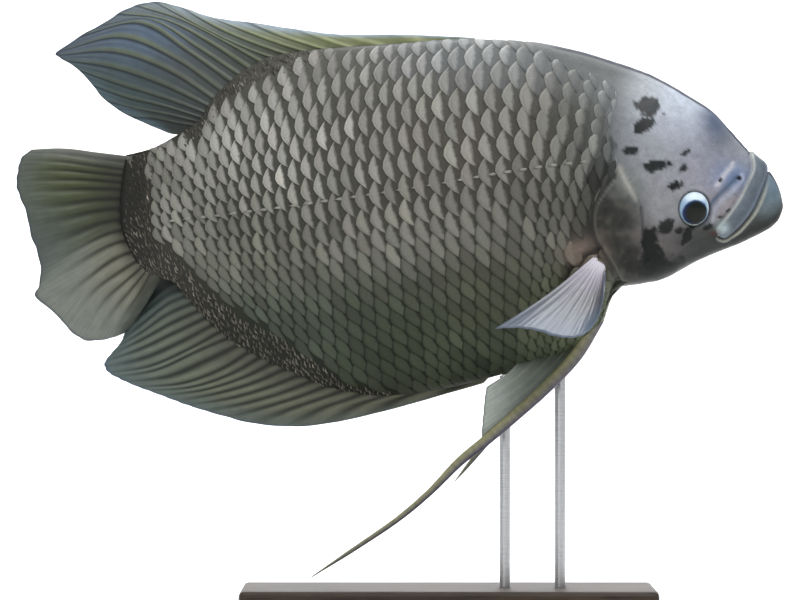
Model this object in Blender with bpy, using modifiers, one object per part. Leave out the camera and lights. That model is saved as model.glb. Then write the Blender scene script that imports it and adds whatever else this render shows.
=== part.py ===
"""A giant gourami as a life-size museum model: a swimming fish on a plain display stand.

The fish faces +X and its right side faces -Y. The floor is z = 0, under the middle of the whole model.
Outlines are (forward, up) pairs in millimetres, measured from the middle of the fish's length and from
its axis, the level line through the mouth and the tail.
"""

import bmesh
import bpy
import math
from mathutils import Matrix, Vector

MM = 0.001
SEAM = 0.0003

# Where the fish floats: the lowest tip of the long feeler clears the base by FEELER_CLEARANCE.
BASE_THICKNESS = 0.018
FEELER_CLEARANCE = 0.008
FEELER_DROP = 0.264
AXIS_HEIGHT = BASE_THICKNESS + FEELER_CLEARANCE + FEELER_DROP

# The body's outline, from the root of the tail fin to the tip of the lower jaw
BACK_LINE = [(-203, 41.5), (-182, 46.5), (-165, 54.8), (-148, 66), (-134, 86), (-113, 104), (-92, 114),
             (-55, 119.2), (0, 123), (45, 126), (85, 124.7), (126, 117.4), (154, 109.2), (182, 99.2),
             (210, 83.6), (225, 74), (240, 58.3), (254, 43), (264, 33.8), (271, 25), (276, 13.5),
             (278, 4)]
BELLY_LINE = [(-203, -43), (-182, -48.5), (-166, -52), (-152, -67), (-134, -86), (-112, -101.5), (-82, -116),
              (-49, -129), (-14, -134.3), (24, -130.5), (62, -122), (98, -111.5), (126, -102), (139.5, -92.5),
              (148, -80), (152.5, -66), (157, -56), (163, -52.5), (182, -51), (193, -48), (206, -41),
              (217, -35), (232, -28.8), (247, -22.8), (259, -17), (268, -12), (274, -6.5), (277, 0), (278, 4)]
HALF_WIDTH = [(-203, 3.2), (-182, 7.5), (-150, 12.5), (-100, 21.5), (-50, 29.5), (0, 36), (50, 40.5),
              (100, 43), (140, 42.5), (165, 40.5), (190, 36.5), (212, 31.5), (232, 26), (250, 21), (264, 15.5),
              (272, 11), (276, 6.5), (278, 0)]
WIDEST_LEVEL = [(-203, -2), (-100, -4), (0, -8), (100, -6), (160, 4), (212, 12), (245, 11), (278, 4)]
# A section is an ellipse where the fullness is 1; a larger value pinches it to a keel.
BACK_FULLNESS = [(-203, 1.2), (-100, 1.15), (40, 1.05), (150, 0.9), (220, 0.82), (278, 0.9)]
BELLY_FULLNESS = [(-203, 1.2), (-60, 1.25), (60, 1.05), (130, 0.85), (200, 0.9), (278, 0.9)]
# The root of the tail fin is an arc: it bulges back in the middle and its lower end lies further forward.
TAIL_ARC_START = -150
TAIL_ARC_TOP = 4
TAIL_ARC_LOW = 16
STATIONS = 50
STEEP_WEIGHT = 1.4
RING_POINTS = 30

# Borders on the head, seen from the side, going down or round
GILL_SLIT = [(155, 140), (155, 31), (148.5, 16), (141.5, 4), (139.5, -8), (142.5, -21), (149, -33.5), (158, -45),
             (168, -66)]
GILL_COVER_FRONT = [(150, 37), (163, 24), (171, 12), (174, 0), (175, -16), (178, -30), (182, -42), (184, -66)]
TAIL_STEM_START = -152
LIP_REAR = [(253, 60), (252, 31), (248, 17), (241, 4), (231, -8), (227, -12)]
MOUTH_LINE = [(261, 60), (264, 31), (263, 20), (257, 8), (248.5, -4), (240, -16)]
LIP_CORNER = [(228, -17), (236.5, -22)]
JAW_REAR = [(236.5, -22), (235, -50)]
LIP_SWELL = 1.0 * MM
JAW_SWELL = 0.4 * MM
GILL_COVER_SWELL = 1.1 * MM
GILL_COVER_DEPTH = 3.6 * MM

EYE_PLACE = (212, 2.3)
EYE_RADIUS = 0.0118
EYE_HALF_DEPTH = 0.0066
EYE_SINK = 0.0024
EYE_RIM = 0.0012
NOSTRILS = [(231.3, 22.4, 1.7), (245, 23.7, 1.2)]
NOSTRIL_DEPTH = 0.002

# Each fin is a list of key rays, from the front or top ray to the last one. A key ray is a few evenly
# counted points, from its root inside the body to its end at the fin's edge.
DORSAL_RAYS = [((58, 121), (56.7, 122.9), (55.3, 124.6), (54, 126.2)),
               ((24, 119.4), (17, 122.6), (10, 125.7), (3, 128.4)),
               ((-3.5, 118.3), (-17, 121.5), (-29.5, 125), (-42, 128.5)),
               ((-28, 117), (-42, 121), (-56, 126), (-70, 131.6)),
               ((-45.5, 115.5), (-64.5, 120.8), (-84, 127.4), (-105, 136.9)),
               ((-61.5, 114), (-85.5, 121.5), (-110, 130.6), (-136, 141)),
               ((-75.5, 112), (-101.5, 121), (-129, 132.3), (-155.5, 147.4)),
               ((-87, 110), (-114, 119.7), (-143.5, 133.7), (-175, 152.3)),
               ((-96.5, 106.5), (-124.5, 122.2), (-157, 138.6), (-189.5, 150.5)),
               ((-107, 103), (-136.5, 122.5), (-168, 138.6), (-202.5, 145)),
               ((-115, 98.7), (-147, 120), (-180, 139), (-216, 136)),
               ((-120.5, 93.8), (-152, 116.2), (-187.5, 137.6), (-229.5, 128.7)),
               ((-126, 86), (-161, 111), (-201.5, 127.8), (-248, 116.2)),
               ((-131, 79.8), (-168, 104), (-207, 117.3), (-249.5, 113.6)),
               ((-135, 75), (-173.5, 94.2), (-210, 106.4), (-245, 110.4)),
               ((-138, 70.7), (-171.5, 83.3), (-206, 94.5), (-235, 104.3)),
               ((-140.5, 67.2), (-171.5, 77), (-201, 84.7), (-224.5, 93.8)),
               ((-143, 64.4), (-168, 70.7), (-192.5, 75.6), (-215.5, 82.6)),
               ((-144, 61.6), (-162.5, 65), (-180.5, 69.3), (-199.5, 71)),
               ((-145, 58.5), (-154, 56.7), (-164, 56.4), (-175, 60.2))]
ANAL_RAYS = [((66, -118), (64, -120), (62, -122.2), (60, -124.3)),
             ((25, -126), (12.5, -131), (-1.5, -136.2), (-17, -146)),
             ((-5.5, -127.4), (-24, -135), (-43.5, -142), (-66, -155.3)),
             ((-31, -126), (-52.5, -134.4), (-77, -142.8), (-103.5, -154)),
             ((-50.5, -121.8), (-74, -131.7), (-101, -140), (-131, -147.4)),
             ((-68, -117.6), (-92.5, -127.4), (-120.5, -135.5), (-152, -141)),
             ((-83.5, -111.3), (-108, -122.5), (-135, -130.6), (-165, -136.3)),
             ((-96.5, -104.3), (-119.5, -117.6), (-148.5, -127.4), (-180, -130.6)),
             ((-108.5, -98.7), (-132.5, -113.4), (-161, -123.6), (-192, -126.2)),
             ((-119.5, -91.7), (-145.5, -102.5), (-173.5, -115.2), (-203, -121.2)),
             ((-129, -84.7), (-153.5, -98.7), (-181.5, -111), (-211.5, -116.3)),
             ((-137, -77.7), (-161, -89.6), (-187, -101.5), (-214.3, -110)),
             ((-144, -70), (-166, -80.2), (-188.5, -92.8), (-209.5, -103)),
             ((-150.5, -62.3), (-168.5, -70), (-186, -83.3), (-202.5, -94.9)),
             ((-157, -54.6), (-168.5, -61), (-182, -72.8), (-195.5, -86)),
             ((-166, -47), (-170, -49.7), (-175.5, -56.7), (-183, -68))]
CAUDAL_RAYS = [((-194, 40), (-218.5, 43), (-243.5, 46), (-266.5, 44.8)),
               ((-196, 32.2), (-220.5, 35.7), (-248, 39.2), (-274, 39)),
               ((-196.7, 26), (-221, 28.7), (-248.5, 31.2), (-276.8, 29.5)),
               ((-197.4, 19.6), (-222, 21.4), (-248.5, 21.7), (-277.8, 19)),
               ((-197.5, 14), (-221, 14), (-247, 12.6), (-275, 10)),
               ((-197.5, 7.7), (-220, 6.3), (-244.5, 1.8), (-270.5, -1.5)),
               ((-197.5, 1.4), (-218.5, -1.4), (-242, -7.7), (-267.7, -16)),
               ((-196.7, -5), (-216.5, -9), (-239.5, -18.2), (-263.5, -27.3)),
               ((-196, -11.2), (-214, -16), (-236, -27.3), (-260.5, -40)),
               ((-194.5, -17.5), (-211.5, -22.4), (-232.5, -33.6), (-261.5, -53)),
               ((-192, -24), (-209.5, -30), (-229.5, -43.4), (-264, -61.8)),
               ((-189.5, -30), (-207, -38.5), (-227.5, -54), (-248, -76)),
               ((-188, -36), (-203, -47), (-220, -60.2), (-239.5, -86)),
               ((-185.5, -41.5), (-198, -54), (-212, -68.6), (-228, -93.3)),
               ((-182, -45), (-191, -60.5), (-201, -75), (-211.5, -92)),
               ((-171.5, -44.5), (-178.2, -57.5), (-186.6, -71), (-198, -87))]
PECTORAL_RAYS = [((143, -30), (107, -59.5), (68, -84.5)), ((143.6, -31.5), (115.4, -59.5), (84, -84)),
                 ((144.2, -33), (122.7, -61), (98, -86)), ((144.8, -34.5), (129.6, -63.2), (111, -90)),
                 ((145.4, -36), (135.8, -64.2), (123, -91)), ((146, -37.5), (141, -63), (133, -87.5)),
                 ((146.4, -39), (145, -58.4), (141, -77.5)), ((146.8, -40.5), (146.6, -52.5), (145, -64.5)),
                 ((147, -42), (146.8, -47.5), (146, -53))]
PELVIC_RAYS = [((139, -84), (103, -129.5), (59, -167)), ((131, -91), (98.5, -127.6), (59.5, -157)),
               ((121, -96), (93.3, -124.5), (60.5, -147)), ((108, -99), (86.7, -120.3), (61.5, -137)),
               ((91, -103), (78.2, -116.7), (63, -127.5))]
FEELER_PATH = [(143, -78), (127, -104.5), (104.6, -128), (84.6, -146), (63.6, -164), (42.6, -181),
               (21.5, -202.5), (-1.5, -222), (-31.5, -242.6), (-64, -264)]
SHORT_FEELER_PATH = [(143, -78), (126, -104), (104, -127.5), (84, -145.5), (62.5, -169), (40, -196)]
FEELER_RADII = [(0, 4.8), (0.2, 4.5), (0.33, 4.2), (0.45, 3.8), (0.56, 3.3), (0.67, 2.5), (0.78, 2.1), (0.9, 1.6),
                (1, 0.35)]
FEELER_STEPS = 22

MEMBRANE = 0.0005
FIN_EDGE = 0.00028
EDGE_NOTCH = 0.018
ANAL_COUNT = 23
PECTORAL_COUNT = 12
PELVIC_COUNT = 5

BASE_LENGTH = 0.300
BASE_WIDTH = 0.172
BASE_CENTRE = 0.035
BASE_BEVEL = 0.003
ROD_RADIUS = 0.004
ROD_PLACES = {"stand_rod_rear": 0.076, "stand_rod_front": 0.116}
ROD_SOCKET_DEPTH = 0.010


def slope_at(points, i):
    """Slope of a smooth curve at its point i: none where the curve turns, so that it never overshoots."""
    if i in (0, len(points) - 1):
        (x0, y0), (x1, y1) = points[max(i - 1, 0)], points[min(i + 1, len(points) - 1)]
        return (y1 - y0) / (x1 - x0)
    (x0, y0), (x1, y1), (x2, y2) = points[i - 1:i + 2]
    before, after = (y1 - y0) / (x1 - x0), (y2 - y1) / (x2 - x1)
    return 0.0 if before * after <= 0 else 2 * before * after / (before + after)


def through(points, at):
    """Height at one place of a smooth curve through (place, height) points."""
    at = min(max(at, points[0][0]), points[-1][0])
    k = max(i for i in range(len(points) - 1) if points[i][0] <= at)
    (x0, y0), (x1, y1) = points[k:k + 2]
    t = (at - x0) / (x1 - x0)
    rise = t * (1 - t) ** 2 * slope_at(points, k) - t * t * (1 - t) * slope_at(points, k + 1)
    return y0 * (1 + 2 * t) * (1 - t) ** 2 + y1 * t * t * (3 - 2 * t) + (x1 - x0) * rise


def along(points, share):
    """Point at a share, 0 to 1, of a smooth path through evenly counted points."""
    place = share * (len(points) - 1)
    k = min(int(place), len(points) - 2)
    t = place - k
    b, c = Vector(points[k]), Vector(points[k + 1])
    a = Vector(points[k - 1]) if k else b * 2 - c
    d = Vector(points[k + 2]) if k + 2 < len(points) else c * 2 - b
    return (b * 2 + (c - a) * t + (a * 2 - b * 5 + c * 4 - d) * t * t + (b * 3 - a - c * 3 + d) * t ** 3) / 2


def section(x):
    """The body's section at x in millimetres: top, bottom, half width, widest level."""
    top, bottom = through(BACK_LINE, x), through(BELLY_LINE, x)
    level = min(max(through(WIDEST_LEVEL, x), bottom + 0.3 * (top - bottom)), top - 0.3 * (top - bottom))
    return top, bottom, through(HALF_WIDTH, x), level


def skin_point(x, angle):
    """Point of the body's surface at x, in metres; the angle is 90 degrees on the back and -90 on the belly."""
    top, bottom, half, level = section(x)
    up = math.sin(angle)
    fullness = through(BACK_FULLNESS if up > 0 else BELLY_FULLNESS, x)
    across = half * math.copysign(abs(math.cos(angle)) ** fullness, math.cos(angle))
    height = level + up * ((top - level) if up > 0 else (level - bottom))
    back = max(0.0, (TAIL_ARC_START - x) / (TAIL_ARC_START - BACK_LINE[0][0])) ** 2
    shift = back * (TAIL_ARC_TOP if up > 0 else TAIL_ARC_LOW) * up * up
    return Vector((x + shift, -across, height)) * MM + Vector((0, 0, AXIS_HEIGHT))


def half_width_at(x, z):
    """Half width of the body in millimetres at a point of the side view."""
    top, bottom, half, level = section(x)
    up = (z - level) / ((top - level) if z > level else (level - bottom))
    fullness = through(BACK_FULLNESS if z > level else BELLY_FULLNESS, x)
    return half * max(0.0, 1 - up * up) ** (fullness / 2)


def side_point(x, z, side, out=0.0):
    """Point on the flank, in metres, at a place of the side view; side is -1 for right and +1 for left."""
    return Vector((x * MM, side * (half_width_at(x, z) * MM + out), z * MM + AXIS_HEIGHT))


def flank_normal(x, z, side):
    """Outward direction of the flank at a place of the side view."""
    step = 2.0
    ahead = side_point(x + step, z, side) - side_point(x - step, z, side)
    up = side_point(x, z + step, side) - side_point(x, z - step, side)
    normal = ahead.cross(up).normalized()
    return normal if normal.y * side > 0 else -normal


def station_places():
    """The stations' x in millimetres, closer together where the outline turns steeply."""
    fine = 600
    start, end = BACK_LINE[0][0], BACK_LINE[-1][0]
    xs = [start + (end - start) * i / fine for i in range(fine + 1)]
    travelled = [0.0]
    for a, b in zip(xs, xs[1:]):
        rises = [abs(through(line, b) - through(line, a)) for line in (BACK_LINE, BELLY_LINE, HALF_WIDTH)]
        travelled.append(travelled[-1] + math.hypot(b - a, STEEP_WEIGHT * max(rises)))
    places = [start]
    for i in range(STATIONS):
        goal = travelled[-1] * i / (STATIONS - 1)
        k = min(sum(1 for t in travelled if t < goal), fine)
        places.append(xs[k])
    return places


def new_object(name, bm, collection):
    mesh = bpy.data.meshes.new(name)
    bmesh.ops.recalc_face_normals(bm, faces=bm.faces)
    bm.to_mesh(mesh)
    bm.free()
    made = bpy.data.objects.new(name, mesh)
    collection.objects.link(made)
    return made


def body_mesh(name, collection, swell=0.0):
    """The whole body as one closed loft: a sphere whose circles are carried to the body's sections."""
    bm = bmesh.new()
    bmesh.ops.create_uvsphere(bm, u_segments=RING_POINTS, v_segments=STATIONS, radius=1.0)
    places = station_places()
    for vert in bm.verts:
        station = round(math.acos(max(-1.0, min(1.0, -vert.co.z))) / math.pi * STATIONS)
        angle = math.atan2(vert.co.y, vert.co.x) + math.pi / 2
        vert.co = skin_point(places[station], angle)
        if station == 0:
            vert.co = Vector((BACK_LINE[0][0] * MM, 0.0, AXIS_HEIGHT))
    bmesh.ops.triangulate(bm, faces=bm.faces, quad_method="FIXED")
    bmesh.ops.recalc_face_normals(bm, faces=bm.faces)
    if swell:
        bm.normal_update()
        moves = [vert.normal * swell for vert in bm.verts]
        for vert, move in zip(bm.verts, moves):
            vert.co += move
    return new_object(name, bm, collection)


def side_prism(name, outline, collection, near=-0.2, far=0.2, shift=0.0):
    """A block with the given side-view outline in millimetres, from y = near to y = far."""
    bm = bmesh.new()
    ring = [bm.verts.new((x * MM + shift, near, z * MM + AXIS_HEIGHT)) for x, z in outline]
    face = bm.faces.new(ring)
    made = bmesh.ops.extrude_face_region(bm, geom=[face])
    moved = [item for item in made["geom"] if isinstance(item, bmesh.types.BMVert)]
    bmesh.ops.translate(bm, verts=moved, vec=(0, far - near, 0))
    bmesh.ops.triangulate(bm, faces=bm.faces)
    return new_object(name, bm, collection)


def copy_of(source, name, collection):
    made = source.copy()
    made.data = source.data.copy()
    made.name = name
    collection.objects.link(made)
    return made


def combine(target, other, operation):
    """One exact Boolean, applied, with the target keeping only its largest closed surface."""
    modifier = target.modifiers.new("combine", "BOOLEAN")
    modifier.operation = operation
    modifier.object = other
    modifier.solver = "EXACT"
    apply_modifiers(target)
    keep_largest(target)


def apply_modifiers(target):
    graph = bpy.context.evaluated_depsgraph_get()
    mesh = bpy.data.meshes.new_from_object(target.evaluated_get(graph))
    target.modifiers.clear()
    target.data = mesh


def keep_largest(target):
    bm = bmesh.new()
    bm.from_mesh(target.data)
    left = set(bm.verts)
    groups = []
    while left:
        group, edge = set(), [left.pop()]
        while edge:
            vert = edge.pop()
            group.add(vert)
            found = {e.other_vert(vert) for e in vert.link_edges} & left
            left -= found
            edge.extend(found)
        groups.append(group)

    def reach(group):
        lows = [min(v.co[i] for v in group) for i in range(3)]
        highs = [max(v.co[i] for v in group) for i in range(3)]
        return sum(high - low for low, high in zip(lows, highs))

    groups.sort(key=reach)
    loose = [vert for group in groups[:-1] for vert in group]
    bmesh.ops.delete(bm, geom=loose, context="VERTS")
    bm.to_mesh(target.data)
    bm.free()


def paint(target, colour, roughness, metallic=0.0):
    material = bpy.data.materials.new(target.name)
    material.use_nodes = True
    shader = material.node_tree.nodes["Principled BSDF"]
    shader.inputs["Base Color"].default_value = (*colour, 1.0)
    shader.inputs["Roughness"].default_value = roughness
    shader.inputs["Metallic"].default_value = metallic
    target.data.materials.clear()
    target.data.materials.append(material)
    target.data.shade_smooth()
    target.data.set_sharp_from_angle(angle=math.radians(35))


def fin_place(key_rays, u, v):
    """Point at share v of the length of the ray at share u across a fin, in millimetres."""
    ray = [along([key[k] for key in key_rays], u) for k in range(len(key_rays[0]))]
    return along(ray, v)


def fin_solid(name, key_rays, count, rows, collection, ridge, sway):
    """A fin as one thin solid: a ridge along every ray on both faces, and the membrane between them.

    sway(u, v) gives the sideways place in metres of ray share u at length share v. The membrane's edge
    is notched a little between the rays.
    """
    columns = 2 * (count - 1) + 1
    faces = {}
    bm = bmesh.new()
    for face in (-1, 1):
        for i in range(columns):
            u = i / (columns - 1)
            reach = 1.0 if i % 2 == 0 else 1.0 - EDGE_NOTCH
            for j in range(rows + 1):
                v = reach * j / rows
                place = fin_place(key_rays, u, v)
                half = MEMBRANE + (FIN_EDGE - MEMBRANE) * v
                if i % 2 == 0:
                    half += ridge * (1 - v) ** 0.7
                across = sway(u, v) + face * half
                co = Vector((place.x * MM, across, place.y * MM + AXIS_HEIGHT))
                faces[face, i, j] = bm.verts.new(co)
    for face in (-1, 1):
        for i in range(columns - 1):
            for j in range(rows):
                a, b = faces[face, i, j], faces[face, i + 1, j]
                c, d = faces[face, i + 1, j + 1], faces[face, i, j + 1]
                for corners in ((a, b, c), (a, c, d)):
                    bm.faces.new(corners if face > 0 else corners[::-1])
    rim = [(i, 0) for i in range(columns)]
    rim += [(columns - 1, j) for j in range(1, rows + 1)]
    rim += [(i, rows) for i in range(columns - 2, -1, -1)]
    rim += [(0, j) for j in range(rows - 1, 0, -1)]
    for (i, j), (k, m) in zip(rim, rim[1:] + rim[:1]):
        a, b = faces[1, i, j], faces[1, k, m]
        c, d = faces[-1, k, m], faces[-1, i, j]
        bm.faces.new((a, c, b))
        bm.faces.new((a, d, c))
    return new_object(name, bm, collection)


def feeler_tube(name, path, side, collection):
    """The long first ray of a pelvic fin: a thread that tapers from the fin's root to its tip."""
    curve = bpy.data.curves.new(name, "CURVE")
    curve.dimensions = "3D"
    curve.bevel_depth = MM
    curve.bevel_resolution = 1
    curve.use_fill_caps = True
    spline = curve.splines.new("POLY")
    spline.points.add(FEELER_STEPS)
    for i, point in enumerate(spline.points):
        share = i / FEELER_STEPS
        x, z = along(path, share)
        across = side * pelvic_spread(share)
        point.co = (x * MM, across, z * MM + AXIS_HEIGHT, 1.0)
        point.radius = through(FEELER_RADII, share)
    made = bpy.data.objects.new(name, curve)
    collection.objects.link(made)
    graph = bpy.context.evaluated_depsgraph_get()
    mesh = bpy.data.meshes.new_from_object(made.evaluated_get(graph))
    bpy.data.objects.remove(made)
    bm = bmesh.new()
    bm.from_mesh(mesh)
    bmesh.ops.remove_doubles(bm, verts=bm.verts, dist=0.00001)
    bmesh.ops.triangulate(bm, faces=bm.faces)
    return new_object(name, bm, collection)


def pelvic_spread(share):
    """Distance of a pelvic ray from the fish's middle plane, in metres, at a share of its length."""
    return 0.0125 + 0.014 * math.sin(share * math.pi * 0.75)


def dorsal_sway(u, v):
    return 0.006 * v * v * math.sin(2.2 * math.pi * u)


def anal_sway(u, v):
    return 0.005 * v * v * math.sin(2.0 * math.pi * u + 0.8)


def caudal_sway(u, v):
    return 0.009 * v * math.sin(1.4 * math.pi * v + 2.4 * u)


def build_flesh(parts, tools):
    """The head, jaw, upper lip, gill covers, torso and tail stem, all cut from one loft."""
    whole = body_mesh("whole", tools)
    swollen_lip = body_mesh("lip_shell", tools, LIP_SWELL)
    swollen_jaw = body_mesh("jaw_shell", tools, JAW_SWELL)
    cover_shell = body_mesh("cover_shell", tools, GILL_COVER_SWELL)
    cover_floor = body_mesh("cover_floor", tools, -GILL_COVER_DEPTH)
    pocket_floor = body_mesh("pocket_floor", tools, -GILL_COVER_DEPTH - SEAM)

    front = [(330, 160)]
    below = [(330, -80)]
    head_block = side_prism("head_block", GILL_SLIT + below + front, tools)
    rest_block = side_prism("rest_block", GILL_SLIT + below + front, tools, shift=-1.4 * SEAM)
    stem_back = [(TAIL_STEM_START, -160), (TAIL_STEM_START, 160), (-260, 160), (-260, -160)]
    stem_block = side_prism("stem_block", stem_back, tools)
    stem_clear = side_prism("stem_clear", stem_back, tools, shift=SEAM)
    lip_outline = LIP_REAR + LIP_CORNER + MOUTH_LINE[::-1]
    jaw_outline = MOUTH_LINE + JAW_REAR + [(330, -50), (330, 60)]
    lip_block = side_prism("lip_block", lip_outline, tools)
    jaw_block = side_prism("jaw_block", jaw_outline, tools, shift=1.6 * SEAM)
    front_outline = LIP_REAR + LIP_CORNER + JAW_REAR[1:] + [(330, -50), (330, 60)]
    front_clear = side_prism("front_clear", front_outline, tools, shift=-1.4 * SEAM)

    torso = copy_of(whole, "torso", parts)
    combine(torso, rest_block, "DIFFERENCE")
    tail_stem = copy_of(torso, "tail_stem", parts)
    combine(torso, stem_clear, "DIFFERENCE")
    combine(tail_stem, stem_block, "INTERSECT")

    head = copy_of(whole, "head", parts)
    combine(head, head_block, "INTERSECT")
    combine(head, front_clear, "DIFFERENCE")

    lip = copy_of(swollen_lip, "lip_upper", parts)
    combine(lip, lip_block, "INTERSECT")
    jaw = copy_of(swollen_jaw, "jaw_lower", parts)
    combine(jaw, jaw_block, "INTERSECT")

    for side, word in ((-1, "right"), (1, "left")):
        near, far = (-0.2, -0.006) if side < 0 else (0.006, 0.2)
        outline = GILL_COVER_FRONT + [(100, -66), (100, 37)]
        pocket = side_prism("pocket_" + word, outline, tools, near - SEAM, far + SEAM, shift=SEAM)
        combine(pocket, pocket_floor, "DIFFERENCE")
        combine(head, pocket, "DIFFERENCE")
        cover = side_prism("gill_cover_" + word, outline, parts, near, far)
        combine(cover, cover_shell, "INTERSECT")
        combine(cover, cover_floor, "DIFFERENCE")
        combine(cover, head_block, "INTERSECT")
        paint(cover, (0.12, 0.12, 0.11), 0.4)
    return torso, tail_stem, head, lip, jaw


def build_eye(word, side, head, parts, tools):
    """An eyeball in its socket, with the raised rim of the orbit on the head."""
    x, z = EYE_PLACE
    normal = flank_normal(x, z, side)
    centre = side_point(x, z, side) - normal * EYE_SINK
    turn = normal.to_track_quat("Z", "Y").to_matrix().to_4x4()
    place = Matrix.Translation(centre) @ turn

    bpy.ops.mesh.primitive_torus_add(major_radius=EYE_RADIUS, minor_radius=EYE_RIM, major_segments=24,
                                     minor_segments=6)
    rim = bpy.context.object
    rim.data.transform(Matrix.Translation(normal * (EYE_SINK + 0.2 * EYE_RIM)) @ place)
    combine(head, rim, "UNION")
    bpy.data.objects.remove(rim)

    for name, gap in (("socket_" + word, SEAM), ("eye_" + word, 0.0)):
        bpy.ops.mesh.primitive_uv_sphere_add(segments=20, ring_count=12, radius=1.0)
        ball = bpy.context.object
        ball.name = name
        size = Matrix.Diagonal((EYE_RADIUS + gap, EYE_RADIUS + gap, EYE_HALF_DEPTH + gap, 1.0))
        ball.data.transform(place @ size)
        for owner in ball.users_collection:
            owner.objects.unlink(ball)
        (tools if gap else parts).objects.link(ball)
        if gap:
            combine(head, ball, "DIFFERENCE")
        else:
            paint(ball, (0.03, 0.035, 0.04), 0.08)


def cut_nostrils(side, head, tools):
    for x, z, radius in NOSTRILS:
        bpy.ops.mesh.primitive_uv_sphere_add(segments=10, ring_count=6, radius=1.0)
        pit = bpy.context.object
        centre = side_point(x, z, side)
        turn = flank_normal(x, z, side).to_track_quat("Z", "Y").to_matrix().to_4x4()
        size = Matrix.Diagonal((radius * MM, radius * MM, NOSTRIL_DEPTH, 1.0))
        pit.data.transform(Matrix.Translation(centre) @ turn @ size)
        combine(head, pit, "DIFFERENCE")
        bpy.data.objects.remove(pit)


def build_middle_fins(clear_body, parts):
    """The dorsal, anal and tail fins, each cut off where it meets the body."""
    dorsal = fin_solid("fin_dorsal", DORSAL_RAYS, len(DORSAL_RAYS), 8, parts, 0.0011, dorsal_sway)
    anal = fin_solid("fin_anal", ANAL_RAYS, ANAL_COUNT, 6, parts, 0.0011, anal_sway)
    caudal = fin_solid("fin_caudal", CAUDAL_RAYS, len(CAUDAL_RAYS), 8, parts, 0.0012, caudal_sway)
    for fin, colour in ((dorsal, (0.08, 0.1, 0.1)), (anal, (0.09, 0.1, 0.08)), (caudal, (0.08, 0.09, 0.06))):
        combine(fin, clear_body, "DIFFERENCE")
        paint(fin, colour, 0.5)


def build_paired_fins(word, side, feeler_path, clear_body, parts, tools):
    """One side's pectoral fin, and its pelvic fin with the long feeler fused to it."""
    root_x, root_z = PECTORAL_RAYS[0][0]
    root_width = half_width_at(root_x, root_z) * MM

    def pectoral_sway(u, v):
        reach = 0.040 * v * (1 - 0.35 * u)
        return side * (root_width - 0.004 + reach + 0.004 * math.sin(math.pi * u) * v)

    def pelvic_sway(u, v):
        return side * (pelvic_spread(0.4 * v) - 0.004 * u * (1 - v))

    pectoral = fin_solid("fin_pectoral_" + word, PECTORAL_RAYS, PECTORAL_COUNT, 5, parts, 0.0008, pectoral_sway)
    combine(pectoral, clear_body, "DIFFERENCE")
    paint(pectoral, (0.32, 0.36, 0.42), 0.4)

    pelvic = fin_solid("fin_pelvic_" + word, PELVIC_RAYS, PELVIC_COUNT, 6, parts, 0.0007, pelvic_sway)
    feeler = feeler_tube("feeler_" + word, feeler_path, side, tools)
    combine(pelvic, feeler, "UNION")
    combine(pelvic, clear_body, "DIFFERENCE")
    paint(pelvic, (0.3, 0.31, 0.26), 0.5)


def build_stand(clear_body, parts):
    """A flat base and two rods that end on the belly."""
    bpy.ops.mesh.primitive_cube_add(size=1.0, location=(BASE_CENTRE, 0, BASE_THICKNESS / 2))
    base = bpy.context.object
    base.name = "stand_base"
    base.data.transform(Matrix.Diagonal((BASE_LENGTH, BASE_WIDTH, BASE_THICKNESS, 1.0)))
    bevel = base.modifiers.new("soft edge", "BEVEL")
    bevel.width = BASE_BEVEL
    bevel.segments = 2
    bevel.limit_method = "ANGLE"
    parts_in = [base]
    for name, x in ROD_PLACES.items():
        bottom = BASE_THICKNESS - ROD_SOCKET_DEPTH
        top = AXIS_HEIGHT
        for gap in (SEAM, 0.0):
            bpy.ops.mesh.primitive_cylinder_add(vertices=16, radius=ROD_RADIUS + gap, depth=top - bottom + gap,
                                                location=(x, 0, (top + bottom - gap) / 2))
            rod = bpy.context.object
            if gap:
                combine(base, rod, "DIFFERENCE")
                bpy.data.objects.remove(rod)
        rod.name = name
        combine(rod, clear_body, "DIFFERENCE")
        paint(rod, (0.62, 0.63, 0.64), 0.3, 1.0)
        parts_in.append(rod)
    paint(base, (0.05, 0.045, 0.04), 0.45)
    for made in parts_in:
        for owner in made.users_collection:
            owner.objects.unlink(made)
        parts.objects.link(made)


def main():
    for old in list(bpy.data.objects):
        bpy.data.objects.remove(old)
    parts = bpy.data.collections.new("giant_gourami")
    tools = bpy.data.collections.new("cutters")
    bpy.context.scene.collection.children.link(parts)
    bpy.context.scene.collection.children.link(tools)

    torso, tail_stem, head, lip, jaw = build_flesh(parts, tools)
    for side, word in ((-1, "right"), (1, "left")):
        build_eye(word, side, head, parts, tools)
        cut_nostrils(side, head, tools)
    for flesh, colour in ((torso, (0.16, 0.16, 0.13)), (tail_stem, (0.07, 0.07, 0.06)), (head, (0.3, 0.31, 0.32)),
                          (lip, (0.34, 0.34, 0.37)), (jaw, (0.17, 0.2, 0.23))):
        paint(flesh, colour, 0.4)

    clear_body = body_mesh("clear_body", tools, SEAM)
    build_middle_fins(clear_body, parts)
    for side, word, path in ((-1, "right", FEELER_PATH), (1, "left", SHORT_FEELER_PATH)):
        build_paired_fins(word, side, path, clear_body, parts, tools)
    build_stand(clear_body, parts)

    for tool in tools.objects:
        tool.hide_render = True
        tool.display_type = "WIRE"


main()
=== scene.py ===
# %% [markdown]
# A giant gourami, life size, as a still museum model on a plain display stand. The imported model gives the
# true
# outline, and this lesson dresses it: one smooth skin for head and body, a coat of separate scales,
# glossy eyes, fins with their rays, and finishes for the stand. The frame is loaded first.

# %% Load the imported model
import math

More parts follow.
